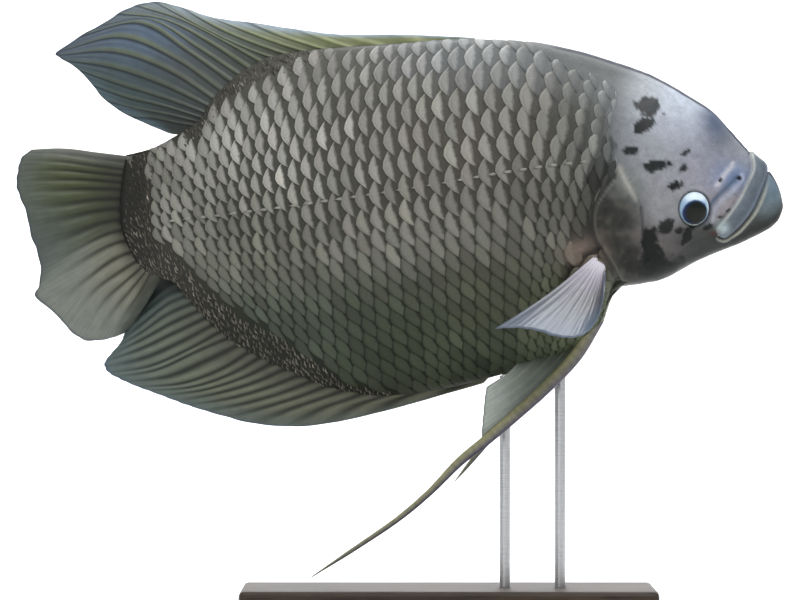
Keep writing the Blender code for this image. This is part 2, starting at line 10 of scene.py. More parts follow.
import bpy
import numpy as np
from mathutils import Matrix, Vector


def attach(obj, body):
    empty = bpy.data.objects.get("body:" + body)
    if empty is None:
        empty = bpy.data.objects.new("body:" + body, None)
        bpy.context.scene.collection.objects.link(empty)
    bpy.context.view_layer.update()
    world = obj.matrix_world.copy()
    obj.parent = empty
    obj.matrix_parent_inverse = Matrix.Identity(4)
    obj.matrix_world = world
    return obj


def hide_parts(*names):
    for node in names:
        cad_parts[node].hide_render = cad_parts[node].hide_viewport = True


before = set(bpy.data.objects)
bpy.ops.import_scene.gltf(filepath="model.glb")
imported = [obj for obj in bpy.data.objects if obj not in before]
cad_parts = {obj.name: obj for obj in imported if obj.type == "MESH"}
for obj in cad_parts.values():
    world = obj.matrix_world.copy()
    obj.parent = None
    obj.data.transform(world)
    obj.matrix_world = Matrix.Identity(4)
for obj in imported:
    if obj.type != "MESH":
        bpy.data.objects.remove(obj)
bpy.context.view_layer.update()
MM = 0.001

# %% [markdown]
# The fish was seen straight from its right side, so the camera is level and looks along +Y. It stands five
# metres away with a long lens, which keeps near and far fins at one scale. The view is a little wider than
# the fish, so that the top of the stand's base shows.

# %% Camera
VIEW_WIDTH = 0.580
VIEW_DISTANCE = 5.0
VIEW_HEIGHT = 0.226
AXIS_HEIGHT = 0.290


def link_new(name, data):
    """A new object that holds the data, linked to the scene."""
    made = bpy.data.objects.new(name, data)
    bpy.context.scene.collection.objects.link(made)
    return made


lens = bpy.data.cameras.new("side_view")
lens.sensor_width = 36.0
lens.lens = lens.sensor_width * VIEW_DISTANCE / VIEW_WIDTH
camera = link_new("side_view", lens)
camera.location = (0.0, -VIEW_DISTANCE, VIEW_HEIGHT)
camera.rotation_euler = (math.radians(90), 0.0, 0.0)
bpy.context.scene.camera = camera
print("lens", round(lens.lens, 1), "mm")

# %% [markdown]
# A studio sweep is one sheet: floor, a round bend and a wall, so no horizon shows behind the fish. It starts
# as a plane whose far edge is extruded upwards, and the crease between is bevelled round.

# %% Studio floor and backdrop
FLOOR_SIZE, FLOOR_MIDDLE, WALL_HEIGHT, BEND = 9.0, (0.0, -2.0, 0.0), 4.0, 1.0
FAR_EDGE = 2.0


def select_none():
    for other in bpy.context.selected_objects:
        other.select_set(False)


def select_edges(mesh, wanted):
    """Enter edit mode with only those edges selected whose ends are both wanted."""
    bpy.ops.object.mode_set(mode="EDIT")
    bpy.ops.mesh.select_mode(type="EDGE")
    bpy.ops.mesh.select_all(action="DESELECT")
    bpy.ops.object.mode_set(mode="OBJECT")
    for edge in mesh.edges:
        edge.select = all(wanted(mesh.vertices[i].co) for i in edge.vertices)
    bpy.ops.object.mode_set(mode="EDIT")


select_none()
bpy.ops.mesh.primitive_plane_add(size=FLOOR_SIZE, location=FLOOR_MIDDLE)
sweep = bpy.context.object
sweep.name = "studio_sweep"
bpy.ops.object.transform_apply(location=True, rotation=True, scale=True)
select_edges(sweep.data, lambda end: end.y > FAR_EDGE)
bpy.ops.mesh.extrude_region_move(TRANSFORM_OT_translate={"value": (0.0, 0.0, WALL_HEIGHT)})
select_edges(sweep.data, lambda end: end.y > FAR_EDGE and end.z < 0.1)
bpy.ops.mesh.bevel(offset=BEND, segments=16, affect="EDGES")
bpy.ops.object.mode_set(mode="OBJECT")
bpy.ops.object.shade_smooth()
paper = bpy.data.materials.new("backdrop_paper")
paper.use_nodes = True
shader = paper.node_tree.nodes["Principled BSDF"]
shader.inputs["Base Color"].default_value = (0.9, 0.9, 0.9, 1.0)
shader.inputs["Roughness"].default_value = 0.9
sweep.data.materials.append(paper)
print("sweep faces", len(sweep.data.polygons))

# %% [markdown]
# The fish was lit from above and a little from the front: the brow and the back shine, the belly lies in its
# own shade. One large soft light does this, a weak one opens the shadows, one brightens the backdrop, and a
# pale sky fills the rest.

# %% Soft lights and a pale sky
def soft_light(name, place, size, power, goal=(0.0, 0.0, 0.28)):
    """A round white area light, its size in metres and its power in watts, turned to a goal."""
    lamp = bpy.data.lights.new(name, "AREA")
    lamp.shape, lamp.size, lamp.energy = "DISK", size, power
    light = link_new(name, lamp)
    light.location = place
    light.rotation_euler = (Vector(goal) - Vector(place)).to_track_quat("-Z", "Y").to_euler()


soft_light("key_above", (0.9, -1.5, 2.5), 1.5, 66.0)
soft_light("fill_front", (-1.6, -3.2, 0.9), 2.4, 8.0)
soft_light("backdrop_light", (0.0, 0.9, 1.9), 2.0, 60.0, goal=(0.0, 2.6, 0.0))
sky = bpy.data.worlds.new("pale_sky")
sky.use_nodes = True
backing = sky.node_tree.nodes["Background"]
backing.inputs["Color"].default_value = (0.96, 0.98, 1.0, 1.0)
backing.inputs["Strength"].default_value = 0.40
bpy.context.scene.world = sky
bpy.context.scene.view_settings.view_transform = "Standard"

# %% [markdown]
# The body was designed by smooth curves through a few named points: the back, the belly, the half width and
# the level where the body is widest. The same curves are drawn here for many places at once, in millimetres
# forward of the middle and up from the fish's axis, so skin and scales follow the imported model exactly.

# %% Curves that everything follows
def through(points, at):
    """Heights of a smooth curve through (place, height) points, which never overshoots them."""
    x, y = np.array(points, float).T
    steps = np.diff(y) / np.diff(x)
    slopes = np.concatenate([steps[:1], np.zeros(len(x) - 2), steps[-1:]])
    same = steps[:-1] * steps[1:] > 0
    total = np.where(same, steps[:-1] + steps[1:], 1.0)
    slopes[1:-1] = np.where(same, 2 * steps[:-1] * steps[1:] / total, 0.0)
    at = np.clip(np.asarray(at, float), x[0], x[-1])
    k = np.clip(np.searchsorted(x, at, side="right") - 1, 0, len(x) - 2)
    t = (at - x[k]) / (x[k + 1] - x[k])
    rise = t * (1 - t) ** 2 * slopes[k] - t * t * (1 - t) * slopes[k + 1]
    return y[k] * (1 + 2 * t) * (1 - t) ** 2 + y[k + 1] * t * t * (3 - 2 * t) + (x[k + 1] - x[k]) * rise


def along(points, share):
    """Points at shares, 0 to 1, of a smooth path."""
    p = np.array(points, float)
    place = np.asarray(share, float) * (len(p) - 1)
    k = np.clip(place.astype(int), 0, len(p) - 2)
    t = (place - k)[..., None]
    p = np.vstack([2 * p[0] - p[1], p, 2 * p[-1] - p[-2]])
    a, b, c, d = p[k], p[k + 1], p[k + 2], p[k + 3]
    return (b * 2 + (c - a) * t + (a * 2 - b * 5 + c * 4 - d) * t * t + (b * 3 - a - c * 3 + d) * t ** 3) / 2


def ramp(t):
    """Smooth step from 0 to 1."""
    t = np.clip(t, 0.0, 1.0)
    return t * t * (3 - 2 * t)


def wander(x, z, size, seed):
    """Soft random field from about -1 to 1, whose bumps are about the given size."""
    rng = np.random.default_rng(seed)
    total = 0.0
    for turn, finer in ((0.6, 1.0), (1.7, 1.35), (2.6, 1.9)):
        table = rng.uniform(-1, 1, (64, 64))
        c, s = math.cos(turn), math.sin(turn)
        p, q = (x * c + z * s) * finer / size + 500.0, (z * c - x * s) * finer / size + 500.0
        i, j = np.floor(p).astype(int), np.floor(q).astype(int)
        s, t = ramp(p - i), ramp(q - j)
        low = table[i % 64, j % 64] * (1 - s) + table[(i + 1) % 64, j % 64] * s
        high = table[i % 64, (j + 1) % 64] * (1 - s) + table[(i + 1) % 64, (j + 1) % 64] * s
        total = total + 0.75 * (low * (1 - t) + high * t) / finer
    return total


def beside(path, x, z):
    """Distance from a path in the side view, positive in front of it, and the share along it."""
    p = np.array(path, float)
    near, side, share = np.full(np.shape(x), 1e9), np.ones(np.shape(x)), np.zeros(np.shape(x))
    for i, (start, end) in enumerate(zip(p[:-1], p[1:])):
        run = end - start
        t = np.clip(((x - start[0]) * run[0] + (z - start[1]) * run[1]) / (run @ run), 0, 1)
        gx, gz = x - start[0] - t * run[0], z - start[1] - t * run[1]
        gap = np.hypot(gx, gz)
        closer = gap < near
        near = np.where(closer, gap, near)
        side = np.where(closer, np.where(run[0] * gz - run[1] * gx >= 0, 1.0, -1.0), side)
        share = np.where(closer, (i + t) / (len(p) - 1), share)
    return near * side, share


print("a curve at its middle:", float(through([(0, 0), (1, 2), (2, 3)], 1.5)))

# %% [markdown]
# These are the named points of the body's outline, from the root of the tail fin to the tip of the jaw, and
# the fullness of its sections: 1 is an ellipse, more pinches it to a keel. A point of the skin is then given
# by its place along the fish and an angle round the section, 90 degrees on the back.

# %% The body's sections
BACK_LINE = [(-203, 41.5), (-182, 46.5), (-165, 54.8), (-148, 66), (-134, 86), (-113, 104), (-92, 114),
             (-55, 119.2), (0, 123), (45, 126), (85, 124.7), (126, 117.4), (154, 109.2), (182, 99.2),
             (210, 83.6), (225, 74), (240, 58.3), (254, 43), (264, 33.8), (271, 25), (276, 13.5),
             (278, 4)]
BELLY_LINE = [(-203, -43), (-182, -48.5), (-166, -52), (-152, -67), (-134, -86), (-112, -101.5), (-82, -116),
              (-49, -129), (-14, -134.3), (24, -130.5), (62, -122), (98, -111.5), (126, -102), (139.5, -92.5),
              (148, -80), (152.5, -66), (157, -56), (163, -52.5), (182, -51), (193, -48), (206, -41),
              (217, -35), (232, -28.8), (247, -22.8), (259, -17), (268, -12), (274, -6.5), (277, 0), (278, 4)]
HALF_WIDTH = [(-203, 3.2), (-182, 7.5), (-150, 12.5), (-100, 21.5), (-50, 29.5), (0, 36), (50, 40.5),
              (100, 43), (140, 42.5), (165, 40.5), (190, 36.5), (212, 31.5), (232, 26), (250, 21),
              (264, 15.5), (272, 11), (276, 6.5), (278, 0)]
WIDEST_LEVEL = [(-203, -2), (-100, -4), (0, -8), (100, -6), (160, 4), (212, 12), (245, 11), (278, 4)]
BACK_FULLNESS = [(-203, 1.2), (-100, 1.15), (40, 1.05), (150, 0.9), (220, 0.82), (278, 0.9)]
BELLY_FULLNESS = [(-203, 1.2), (-60, 1.25), (60, 1.05), (130, 0.85), (200, 0.9), (278, 0.9)]
TAIL_END, SNOUT_END = -203.0, 278.0
TAIL_ARC_START, TAIL_ARC_TOP, TAIL_ARC_LOW = -150.0, 4.0, 16.0


def section(x):
    """Top, bottom, half width and widest level of the body at x."""
    top, bottom = through(BACK_LINE, x), through(BELLY_LINE, x)
    level = np.clip(through(WIDEST_LEVEL, x), bottom + 0.3 * (top - bottom), top - 0.3 * (top - bottom))
    return top, bottom, through(HALF_WIDTH, x), level


def body_point(x, angle):
    """Point of the body's surface in millimetres from the axis, on the right side for angles -90 to 90."""
    x, angle = np.broadcast_arrays(np.asarray(x, float), np.asarray(angle, float))
    top, bottom, half, level = section(x)
    up, out = np.sin(angle), np.cos(angle)
    fullness = np.where(up > 0, through(BACK_FULLNESS, x), through(BELLY_FULLNESS, x))
    across = half * np.sign(out) * np.abs(out) ** fullness
    height = level + up * np.where(up > 0, top - level, level - bottom)
    back = np.clip((TAIL_ARC_START - x) / (TAIL_ARC_START - TAIL_END), 0, 1) ** 2
    shift = back * np.where(up > 0, TAIL_ARC_TOP, TAIL_ARC_LOW) * up * up
    return np.stack([x + shift, -across, height], axis=-1)


def to_world(points):
    return points * MM + np.array([0.0, 0.0, AXIS_HEIGHT])


def half_width_at(x, z):
    """Half width of the body at a point of the side view."""
    top, bottom, half, level = section(x)
    up = (z - level) / np.where(z > level, top - level, level - bottom)
    fullness = np.where(z > level, through(BACK_FULLNESS, x), through(BELLY_FULLNESS, x))
    return half * np.clip(1 - up * up, 0, 1) ** (fullness / 2)


print("body at the middle:", [round(float(v), 1) for v in section(0.0)])

# %% [markdown]
# The skin of a fish is one piece from lips to tail. A sphere with many rings is the nearest primitive: its
# poles become the snout and the tail, and each ring is carried to one section of the body. The rings lie
# closer together on the head, because the lips, the gill cover and the eye's rim are shaped there.

# %% Skin: a sphere carried to the body's sections
SKIN_AROUND, SKIN_RINGS = 288, 264


def ring_places(count):
    """The rings' places along the fish, close together on the head and where the outline turns."""
    fine = np.linspace(TAIL_END, SNOUT_END, 4001)
    outlines = [through(line, fine) for line in (BACK_LINE, BELLY_LINE, HALF_WIDTH)]
    rises = np.max(np.abs(np.diff(outlines, axis=1)), axis=0)
    dense = 1.0 + 2.2 * ramp((fine[1:] - 126.0) / 22.0)
    gone = np.concatenate([[0.0], np.cumsum(np.hypot(np.diff(fine), 1.4 * rises) * dense)])
    return np.concatenate([[TAIL_END], np.interp(np.linspace(0, gone[-1], count), gone, fine)])


def read_points(mesh, what="co"):
    flat = np.empty(len(mesh.vertices) * 3)
    mesh.vertices.foreach_get(what, flat)
    return flat.reshape(-1, 3)


def write_points(mesh, points):
    mesh.vertices.foreach_set("co", np.ascontiguousarray(points, float).ravel())
    mesh.update()


def face_outwards(doubles=0.0):
    """Merge points nearer than doubles, turn all faces of the active mesh outwards and shade it smooth."""
    bpy.ops.object.mode_set(mode="EDIT")
    bpy.ops.mesh.select_all(action="SELECT")
    if doubles > 0:
        bpy.ops.mesh.remove_doubles(threshold=doubles)
    bpy.ops.mesh.normals_make_consistent(inside=False)
    bpy.ops.object.mode_set(mode="OBJECT")
    bpy.ops.object.shade_smooth()


select_none()
bpy.ops.mesh.primitive_uv_sphere_add(segments=SKIN_AROUND, ring_count=SKIN_RINGS, radius=1.0, calc_uvs=True)
skin = bpy.context.object
skin.name = "skin"
skin.data.uv_layers[0].name = "OFBake"
ball = read_points(skin.data)
ring = np.rint(np.arccos(np.clip(-ball[:, 2], -1, 1)) / np.pi * SKIN_RINGS).astype(int)
skin_angle = np.arctan2(ball[:, 1], ball[:, 0]) + np.pi / 2
RING_PLACES = ring_places(SKIN_RINGS)
plain_skin = body_point(RING_PLACES[ring], skin_angle)
plain_skin[ring == 0] = (TAIL_END, 0.0, 0.0)
write_points(skin.data, to_world(plain_skin))
face_outwards()
print("skin faces", len(skin.data.polygons))

# %% [markdown]
# On the head the skin is drawn tight over bones: two folds of the upper lip, the mouth's slit, the raised rim
# of the eye, a groove from the eye to the lip, and the gill cover, a plate whose rear edge stands off the
# flank. Each is a path in the side view with a height across it, and the skin is moved outwards by the sum.

# %% Paths of the head's forms
LIP_BACK = [(253, 42), (255, 33), (248.5, 16.5), (242, 3.5), (234, -6.5), (228, -12)]
LIP_FRONT = [(264, 42), (266, 27), (262, 16), (256, 4), (247, -8), (239, -16.5)]
LIP_MIDDLE = [((a + c) / 2, (b + d) / 2) for (a, b), (c, d) in zip(LIP_BACK, LIP_FRONT)]
LIP_HALF = [(0, 5.2), (0.2, 6.0), (0.4, 6.8), (0.6, 7.0), (0.8, 6.6), (1, 5.4)]
GILL_EDGE = [(159.5, 31), (149.5, 17), (141, 4), (139.3, -8), (141.5, -20), (149.5, -33), (158, -47.5),
             (167, -60)]
GILL_FRONT = [(158.5, 33), (167.5, 12), (173.3, 0), (174.6, -23), (177, -46), (180, -60)]
CHEEK_EDGE = [(168, 12), (173.3, 0), (174.6, -23), (178, -34)]
EYE_GROOVE = [(220.5, -6), (223, 3), (229, 10.5), (236, 17), (243, 24)]
CHIN_FOLD = [(226, -16), (214, -21), (204, -28), (196, -37)]
COAT_FRONT = [(96, 127), (112, 114), (130, 105), (148, 97), (157, 89), (158, 80), (155, 68), (153, 58),
              (155, 46)] + GILL_EDGE
EYE_PLACE, EYE_WIDE, EYE_HIGH = (212.2, 1.7), 11.0, 12.1
NOSTRILS = [(231.3, 22.4, 1.8), (244.5, 23.9, 1.5)]
AXIL = [(142, -31), (131, -38), (119, -50)]
PATH_STEPS = 48
EYE_RIM = 12.0


def smooth_path(points):
    return along(points, np.linspace(0, 1, PATH_STEPS))


def gap_to(points, x, z):
    """Distance from a smooth path in the side view, positive in front of it."""
    return beside(smooth_path(points), x, z)[0]


def across_lip(x, z):
    """Place across the lip's folds, -1 at their rear border and 1 at their front one."""
    gap, share = beside(smooth_path(LIP_MIDDLE), x, z)
    return gap / through(LIP_HALF, share)


def ridge(gap, width):
    return np.exp(-(gap / width) ** 2)


def relief(x, z):
    """How far the skin stands out, in millimetres, at places of the side view."""
    across = across_lip(x, z)
    lip = 1.5 * (1 - ramp((np.abs(across) - 0.72) / 0.34)) + 0.5 * ridge(across + 0.78, 0.16)
    lip += 0.5 * ridge(across - 0.45, 0.3) - 0.9 * ridge(across + 1.12, 0.1)
    lip += -2.1 * ridge(across - 1.06, 0.13) + 0.9 * ridge(across - 1.36, 0.17) * ramp((22 - z) / 12)
    out = lip * (x > 222)

    dx, dz = (x - EYE_PLACE[0]) / EYE_WIDE, (z - EYE_PLACE[1]) / EYE_HIGH
    eye = np.hypot(dx, dz) * EYE_RIM
    out += -1.3 * ridge(eye - EYE_RIM, 0.9) - 3.0 * ramp((11.4 - eye) / 2.0)
    out += (0.75 + 0.35 * np.clip(dz, -1, 1)) * ridge(eye - 14.0, 1.3)
    for px, pz, size in NOSTRILS:
        spot = np.hypot(x - px, z - pz)
        out += -1.3 * ridge(spot, size * 0.8) + 0.35 * ridge(spot - size * 1.5, size * 0.5)

    gap = gap_to(EYE_GROOVE, x, z)
    out += -0.9 * ridge(gap, 1.5) + 0.55 * ridge(gap + 3.6, 1.7)
    out += -0.5 * ridge(gap_to(CHIN_FOLD, x, z), 1.4)

    rear = gap_to(GILL_EDGE, x, z)
    inside = ramp((rear + 0.3) / 1.3) * (1 - ramp((gap_to(GILL_FRONT, x, z) + 9) / 13)) * ramp((40 - z) / 12)
    out += 1.3 * inside + 0.35 * ridge(rear - 1.6, 1.3) * ramp((34 - z) / 10)
    gap = gap_to(CHEEK_EDGE, x, z)
    out += -0.65 * ridge(gap, 0.9) + 0.4 * ridge(gap - 2.4, 1.6)

    out += -2.0 * ridge(gap_to(AXIL, x, z) + 2.0, 4.0) * (x < 145)
    out += -0.8 * ramp(-gap_to(COAT_FRONT, x, z) / 6.0)
    bare = ramp((x - 140) / 20)
    return out + bare * (0.16 * wander(x, z, 9, 3) + 0.07 * wander(x, z, 3.5, 4))


normals = read_points(skin.data, "normal")
lift = relief(plain_skin[:, 0], plain_skin[:, 2])
lift *= ramp((plain_skin[:, 0] - TAIL_END) / 6.0)
write_points(skin.data, to_world(plain_skin) + normals * (lift * MM)[:, None])
print("relief from", round(float(lift.min()), 2), "to", round(float(lift.max()), 2), "mm")

# %% [markdown]
# A painter would lay in the broad tones first: pale blue brow, rosy cheek, dark gill cover, grey flank, green
# belly. The brow's pale tone is partly a painted highlight, and the dark tones under the eye, on chin, throat,
# belly and keel are partly painted shade of the underside, over the fish's own darker colour there. Here each
# tone is a named patch with a centre and a reach, and patches melt into each other. A patch has a ground tone,
# for skin and for the roots of scales, and a pale tone for the scales' free edges. Where no scales grow, one
# tone does for both.

# %% Broad tones of the body
def paint_tone(red, green, blue):
    """A painter's 0 to 255 tone as light."""
    share = np.array([red, green, blue]) / 255.0
    return np.where(share <= 0.04045, share / 12.92, ((share + 0.055) / 1.055) ** 2.4)


# name, place (forward, up), reach (along, upright), ground tone, pale tone
TONE_PATCHES = [
    ("nape", (150, 96), (26, 20), (94, 97, 97), (134, 138, 137)),
    ("nape_front", (176, 90), (10, 10), (168, 172, 176)),
    # brow: pale partly by its own colour and partly by a painted highlight from the light above
    ("brow", (200, 78), (26, 20), (178, 186, 198)),
    ("brow_low", (202, 60), (14, 10), (146, 150, 164)),
    ("forehead", (226, 66), (9, 12), (46, 60, 86)),
    ("forehead_low", (234, 52), (9, 9), (88, 94, 103)),
    ("snout_top", (244, 44), (13, 12), (128, 132, 138)),
    ("cheek_high", (180, 44), (24, 20), (134, 137, 142)),
    ("temple", (212, 34), (18, 16), (134, 134, 144)),
    ("temple_high", (218, 44), (10, 8), (118, 120, 134)),
    ("cheek", (190, 8), (12, 15), (127, 128, 131)),
    ("cheek_low", (188, -22), (14, 9), (100, 94, 94)),
    ("snout", (236, 6), (11, 9), (130, 126, 130)),
    ("snout_blue", (238, 27), (10, 9), (92, 110, 146)),
    # under_eye, chin and throat further down: dark partly by their own colour, partly by painted shade under
    # the head
    ("under_eye", (214, -20), (14, 6), (52, 54, 52)),
    ("chin", (252, -14), (14, 6), (30, 32, 32)),
    ("jaw", (268, 8), (9, 14), (92, 104, 110)),
    ("jaw_top", (272, 18), (6, 8), (98, 118, 134)),
    ("jaw_low", (258, -9), (8, 6), (63, 65, 63)),
    ("throat", (196, -42), (26, 9), (26, 29, 27)),
    ("gill_cover", (158, 2), (12, 20), (41, 42, 40)),
    ("gill_high", (161, 20), (8, 8), (122, 126, 121)),
    ("gill_cover_low", (162, -36), (11, 14), (28, 30, 28)),
    ("pectoral_hollow", (132, -34), (11, 10), (142, 124, 114)),
    ("gill_shade", (134, -4), (10, 20), (34, 33, 31), (41, 40, 38)),
    ("blotch", (146, 28), (9, 9), (30, 31, 31), (54, 54, 52)),
    ("shoulder", (128, 56), (26, 26), (57, 59, 55), (97, 98, 93)),
    ("back", (60, 112), (60, 18), (96, 99, 100), (138, 140, 140)),
    ("back_rear", (-60, 100), (50, 22), (82, 82, 76), (135, 134, 130)),
    ("flank_high", (30, 60), (70, 30), (72, 69, 62), (134, 133, 126)),
    ("flank_high_front", (88, 64), (22, 20), (63, 61, 56), (111, 109, 104)),
    ("flank_rear_high", (-90, 50), (50, 34), (68, 68, 63), (152, 151, 146)),
    ("flank", (40, -4), (60, 26), (60, 60, 53), (108, 107, 100)),
    ("flank_front", (100, -4), (24, 24), (46, 45, 40), (82, 82, 76)),
    ("flank_mid", (-20, -10), (40, 24), (64, 63, 56), (124, 123, 115)),
    ("flank_rear", (-100, -20), (44, 30), (52, 52, 45), (102, 103, 93)),
    ("tail_stem", (-168, 10), (22, 40), (56, 55, 50), (120, 120, 113)),
    ("tail_root", (-194, 0), (12, 44), (30, 30, 28), (100, 98, 92)),
    ("flank_low", (70, -56), (54, 24), (45, 48, 34), (68, 71, 57)),
    ("flank_low_mid", (-10, -60), (40, 20), (34, 37, 27), (60, 64, 54)),
    # belly, belly_rear and keel: dark partly by their own colour, partly by painted shade of the underside
    ("belly", (20, -100), (70, 26), (27, 31, 21), (57, 64, 49)),
    ("belly_rear", (-90, -90), (44, 26), (34, 37, 29), (70, 77, 66)),
    ("belly_front", (128, -80), (26, 26), (60, 66, 50), (94, 102, 80)),
    ("keel", (0, -134), (120, 10), (37, 40, 30), (62, 66, 54)),
]


def melt(patches, x, z):
    """Blend of patches at each place: the ground tones and the pale tones."""
    total, ground, pale = 1e-9, 0.0, 0.0
    for _, (px, pz), (rx, rz), *tones in patches:
        weight = np.exp(-np.hypot((x - px) / rx, (z - pz) / rz) ** 1.6)
        total = total + weight
        ground = ground + weight[..., None] * paint_tone(*tones[0])
        pale = pale + weight[..., None] * paint_tone(*tones[-1])
    return ground / total[..., None], pale / total[..., None]


print("tone patches:", len(TONE_PATCHES))

# %% [markdown]
# Dark smudges lie over the head and behind the gill cover. They are pigment, so skin and scales wear the same
# ones: each smudge is a soft ellipse whose edge wanders. The lips, the eye groove, the pink hollow of the
# mouth's corner and the pale seams of the plates are painted along the paths that shaped them. Light and shade
# are painted here too: a shadow line behind the gill cover's edge, a dark line along the back's outline on the
# head, shade under the eye and along the head's underside, and highlights on two folds of the lips.

# %% Markings, painted shade and painted highlights shared by skin and scales
BROW_SEAM = [(228.5, 21), (234, 29.5), (238, 34)]
COVER_SEAM = [(157.5, 32), (161, 24), (165.5, 16), (169, 9)]
CHEEK_SEAM = [(173.3, 3), (174.2, -8), (174.6, -25)]
# centre (forward, up), half length, half height, tilt in degrees, depth
SMUDGES = [
    ((177.8, 76), 9.4, 7.2, -8, 0.8), ((176, 62.4), 8.6, 5.4, 24, 0.85), ((165.6, 43.9), 6, 3.1, 0, 0.85),
    ((148.8, 47.5), 7.5, 7.5, 0, 0.12), ((143, 26), 12, 8, 32, 0.3), ((184.3, 32.1), 10.4, 4, 9, 0.85),
    ((206, 42.6), 4, 2.3, 35, 0.75), ((204.4, 31), 3.4, 3.3, 0, 0.8), ((198.2, 18.1), 5.8, 3.2, 18, 0.9),
    ((231.3, 22.4), 1.7, 1.9, 0, 1), ((244.5, 23.9), 2.2, 1.7, 0, 0.8), ((242.2, 12.2), 1.2, 1.2, 0, 0.5),
    ((237.6, 0.6), 3.1, 1.6, 25, 0.8), ((230.9, -4.2), 3, 1.5, 10, 0.7), ((222.4, -11.4), 4.6, 2.6, 25, 0.85),
    ((191.3, -10.6), 6.6, 5.4, 30, 0.8), ((201, -14.2), 3.6, 2.8, 0, 0.75), ((207.2, -17), 8.6, 3.6, 68, 0.9),
    ((181.4, -30), 17, 7.8, 94, 0.95), ((187, -43), 17, 10, 10, 0.95), ((190, 70), 1.8, 1.6, 0, 0.5),
]
SMUDGE_TONE = (7, 12, 10)
SMUDGE_STRENGTH = 0.35


def paint_skin(x, z):
    """Ground and pale tones with all markings, painted shade and painted highlights, at places of the side
    view.
    """
    ground, pale = melt(TONE_PATCHES, x, z)

    def lay(mask, tone):
        """Cover both tones, by the mask, with a painter's tone or with tones that are light already."""
        nonlocal ground, pale
        mask = np.clip(mask, 0, 1)[..., None]
        light = paint_tone(*tone) if isinstance(tone, tuple) else tone
        ground = ground * (1 - mask) + light * mask
        pale = pale * (1 - mask) + light * mask

    gap = gap_to(EYE_GROOVE, x, z)
    lay(0.8 * ridge(gap, 2.0), (62, 80, 104))
    lay(0.6 * ridge(gap + 4.4, 1.7) * ramp((x - 222) / 6), (158, 166, 182))
    lay(0.6 * ridge(beside(BROW_SEAM, x, z)[0] + 1.8, 2.0), (200, 198, 200))
    rear = gap_to(GILL_EDGE, x, z)
    # Painted shadow: a dark line just behind the gill cover's rear edge, where the raised plate shades the
    # flank.
    lay(0.55 * ridge(rear + 1.4, 1.8) * ramp((30 - z) / 12), (34, 33, 32))
    lay(0.3 * ridge(rear - 0.8, 0.9), (128, 126, 118))
    lay(0.45 * ridge(beside(COVER_SEAM, x, z)[0], 2.0), (170, 168, 162))
    lay(0.75 * ridge(beside(CHEEK_SEAM, x, z)[0], 0.9), (38, 36, 36))
    on_cover = ramp(rear / 3) * ramp((2 - gap_to(GILL_FRONT, x, z)) / 6) * ramp((36 - z) / 8)
    mottle = wander(x, z, 6, 5)
    ground = ground * (1 + 0.35 * on_cover * mottle)[..., None]
    lay(on_cover * 0.3 * ramp((mottle - 0.2) / 0.5), (84, 78, 72))
    # Painted shade: a dark navy line along the back's outline on the head, standing for the shade at the
    # outline's rim.
    below_top = through(BACK_LINE, x) - z
    lay(0.95 * ramp((3.4 - below_top) / 1.6) * ramp((x - 106) / 10), (14, 20, 50))
    lay(0.7 * ridge(np.hypot((x - 229) / 9, (z - 66) / 15), 0.9), (70, 82, 104))
    # Painted shade: darker under the eye and along the head's underside, which face away from the light above.
    lay(0.45 * ridge(np.hypot((x - 203) / 20, (z + 19) / 10), 1.0), (52, 56, 54))
    over_edge = z - through(BELLY_LINE, x)
    lay(0.6 * ramp((20 - over_edge) / 14) * ramp((x - 186) / 14), (44, 48, 46))
    lay(0.95 * ramp((10.5 - over_edge) / 8) * ramp((x - 166) / 14), (14, 18, 14))
    for (px, pz), long, high, tilt, depth in SMUDGES:
        dx, dz = x - px, z - pz
        turn = math.radians(tilt)
        size = 0.5 * (long + high)
        p = (dx * math.cos(turn) + dz * math.sin(turn)) / long
        q = (-dx * math.sin(turn) + dz * math.cos(turn)) / high
        rough = 0.32 * wander(x, z, max(2.2, size * 0.5), 11) + 0.14 * wander(x, z, 1.9, 12)
        inside = (1.14 + rough - np.hypot(p, q)) / (0.22 + 0.9 / size)
        lay(depth ** SMUDGE_STRENGTH * ramp(inside), SMUDGE_TONE)

    across = across_lip(x, z)
    near = (x > 224) * 1.0
    fore = np.clip((across + 0.9) / 1.8, 0, 1)[..., None]
    lip_tone = paint_tone(102, 110, 118) * (1 - fore) + paint_tone(64, 75, 86) * fore
    lay(near * (1 - ramp((np.abs(across) - 0.9) / 0.16)), lip_tone)
    # Painted highlight: a pale line on the rear fold of the upper lip.
    lay(near * 0.55 * ridge(across + 0.86, 0.11), (196, 198, 190))
    lay(near * 0.5 * ridge(across - 0.62, 0.16), (118, 126, 140))
    lay(near * 0.6 * ridge(across - 1.06, 0.10), (44, 50, 56))
    # Painted highlight: a pale line along the lower lip's edge.
    lay(near * 0.75 * ridge(across - 1.30, 0.12) * ramp((24 - z) / 14), (170, 172, 160))
    lay(near * 0.7 * ridge(across + 1.12, 0.10) * ramp((6 - z) / 10), (64, 72, 62))
    lay(0.8 * ridge(np.hypot(x - 232.8, z + 11.5), 4.2), (172, 188, 190))
    lay(0.8 * ridge(np.hypot((x - 227) / 1.4, z + 16), 2.2), (66, 30, 28))
    eye = np.hypot((x - EYE_PLACE[0]) / EYE_WIDE, (z - EYE_PLACE[1]) / EYE_HIGH)
    lay(0.9 * ridge(eye - 1.03, 0.07), (34, 38, 50))
    lay(0.9 * ridge(gap_to(AXIL, x, z) + 2.2, 4.2) * (x < 146), (34, 30, 28))
    return ground, pale


def add_tone(mesh, name, tones):
    """Store a tone for every vertex of a mesh."""
    layer = mesh.color_attributes.new(name, "FLOAT_COLOR", "POINT")
    full = np.concatenate([np.clip(tones, 0, 1), np.ones((len(tones), 1))], axis=1)
    layer.data.foreach_set("color", np.ascontiguousarray(full, float).ravel())


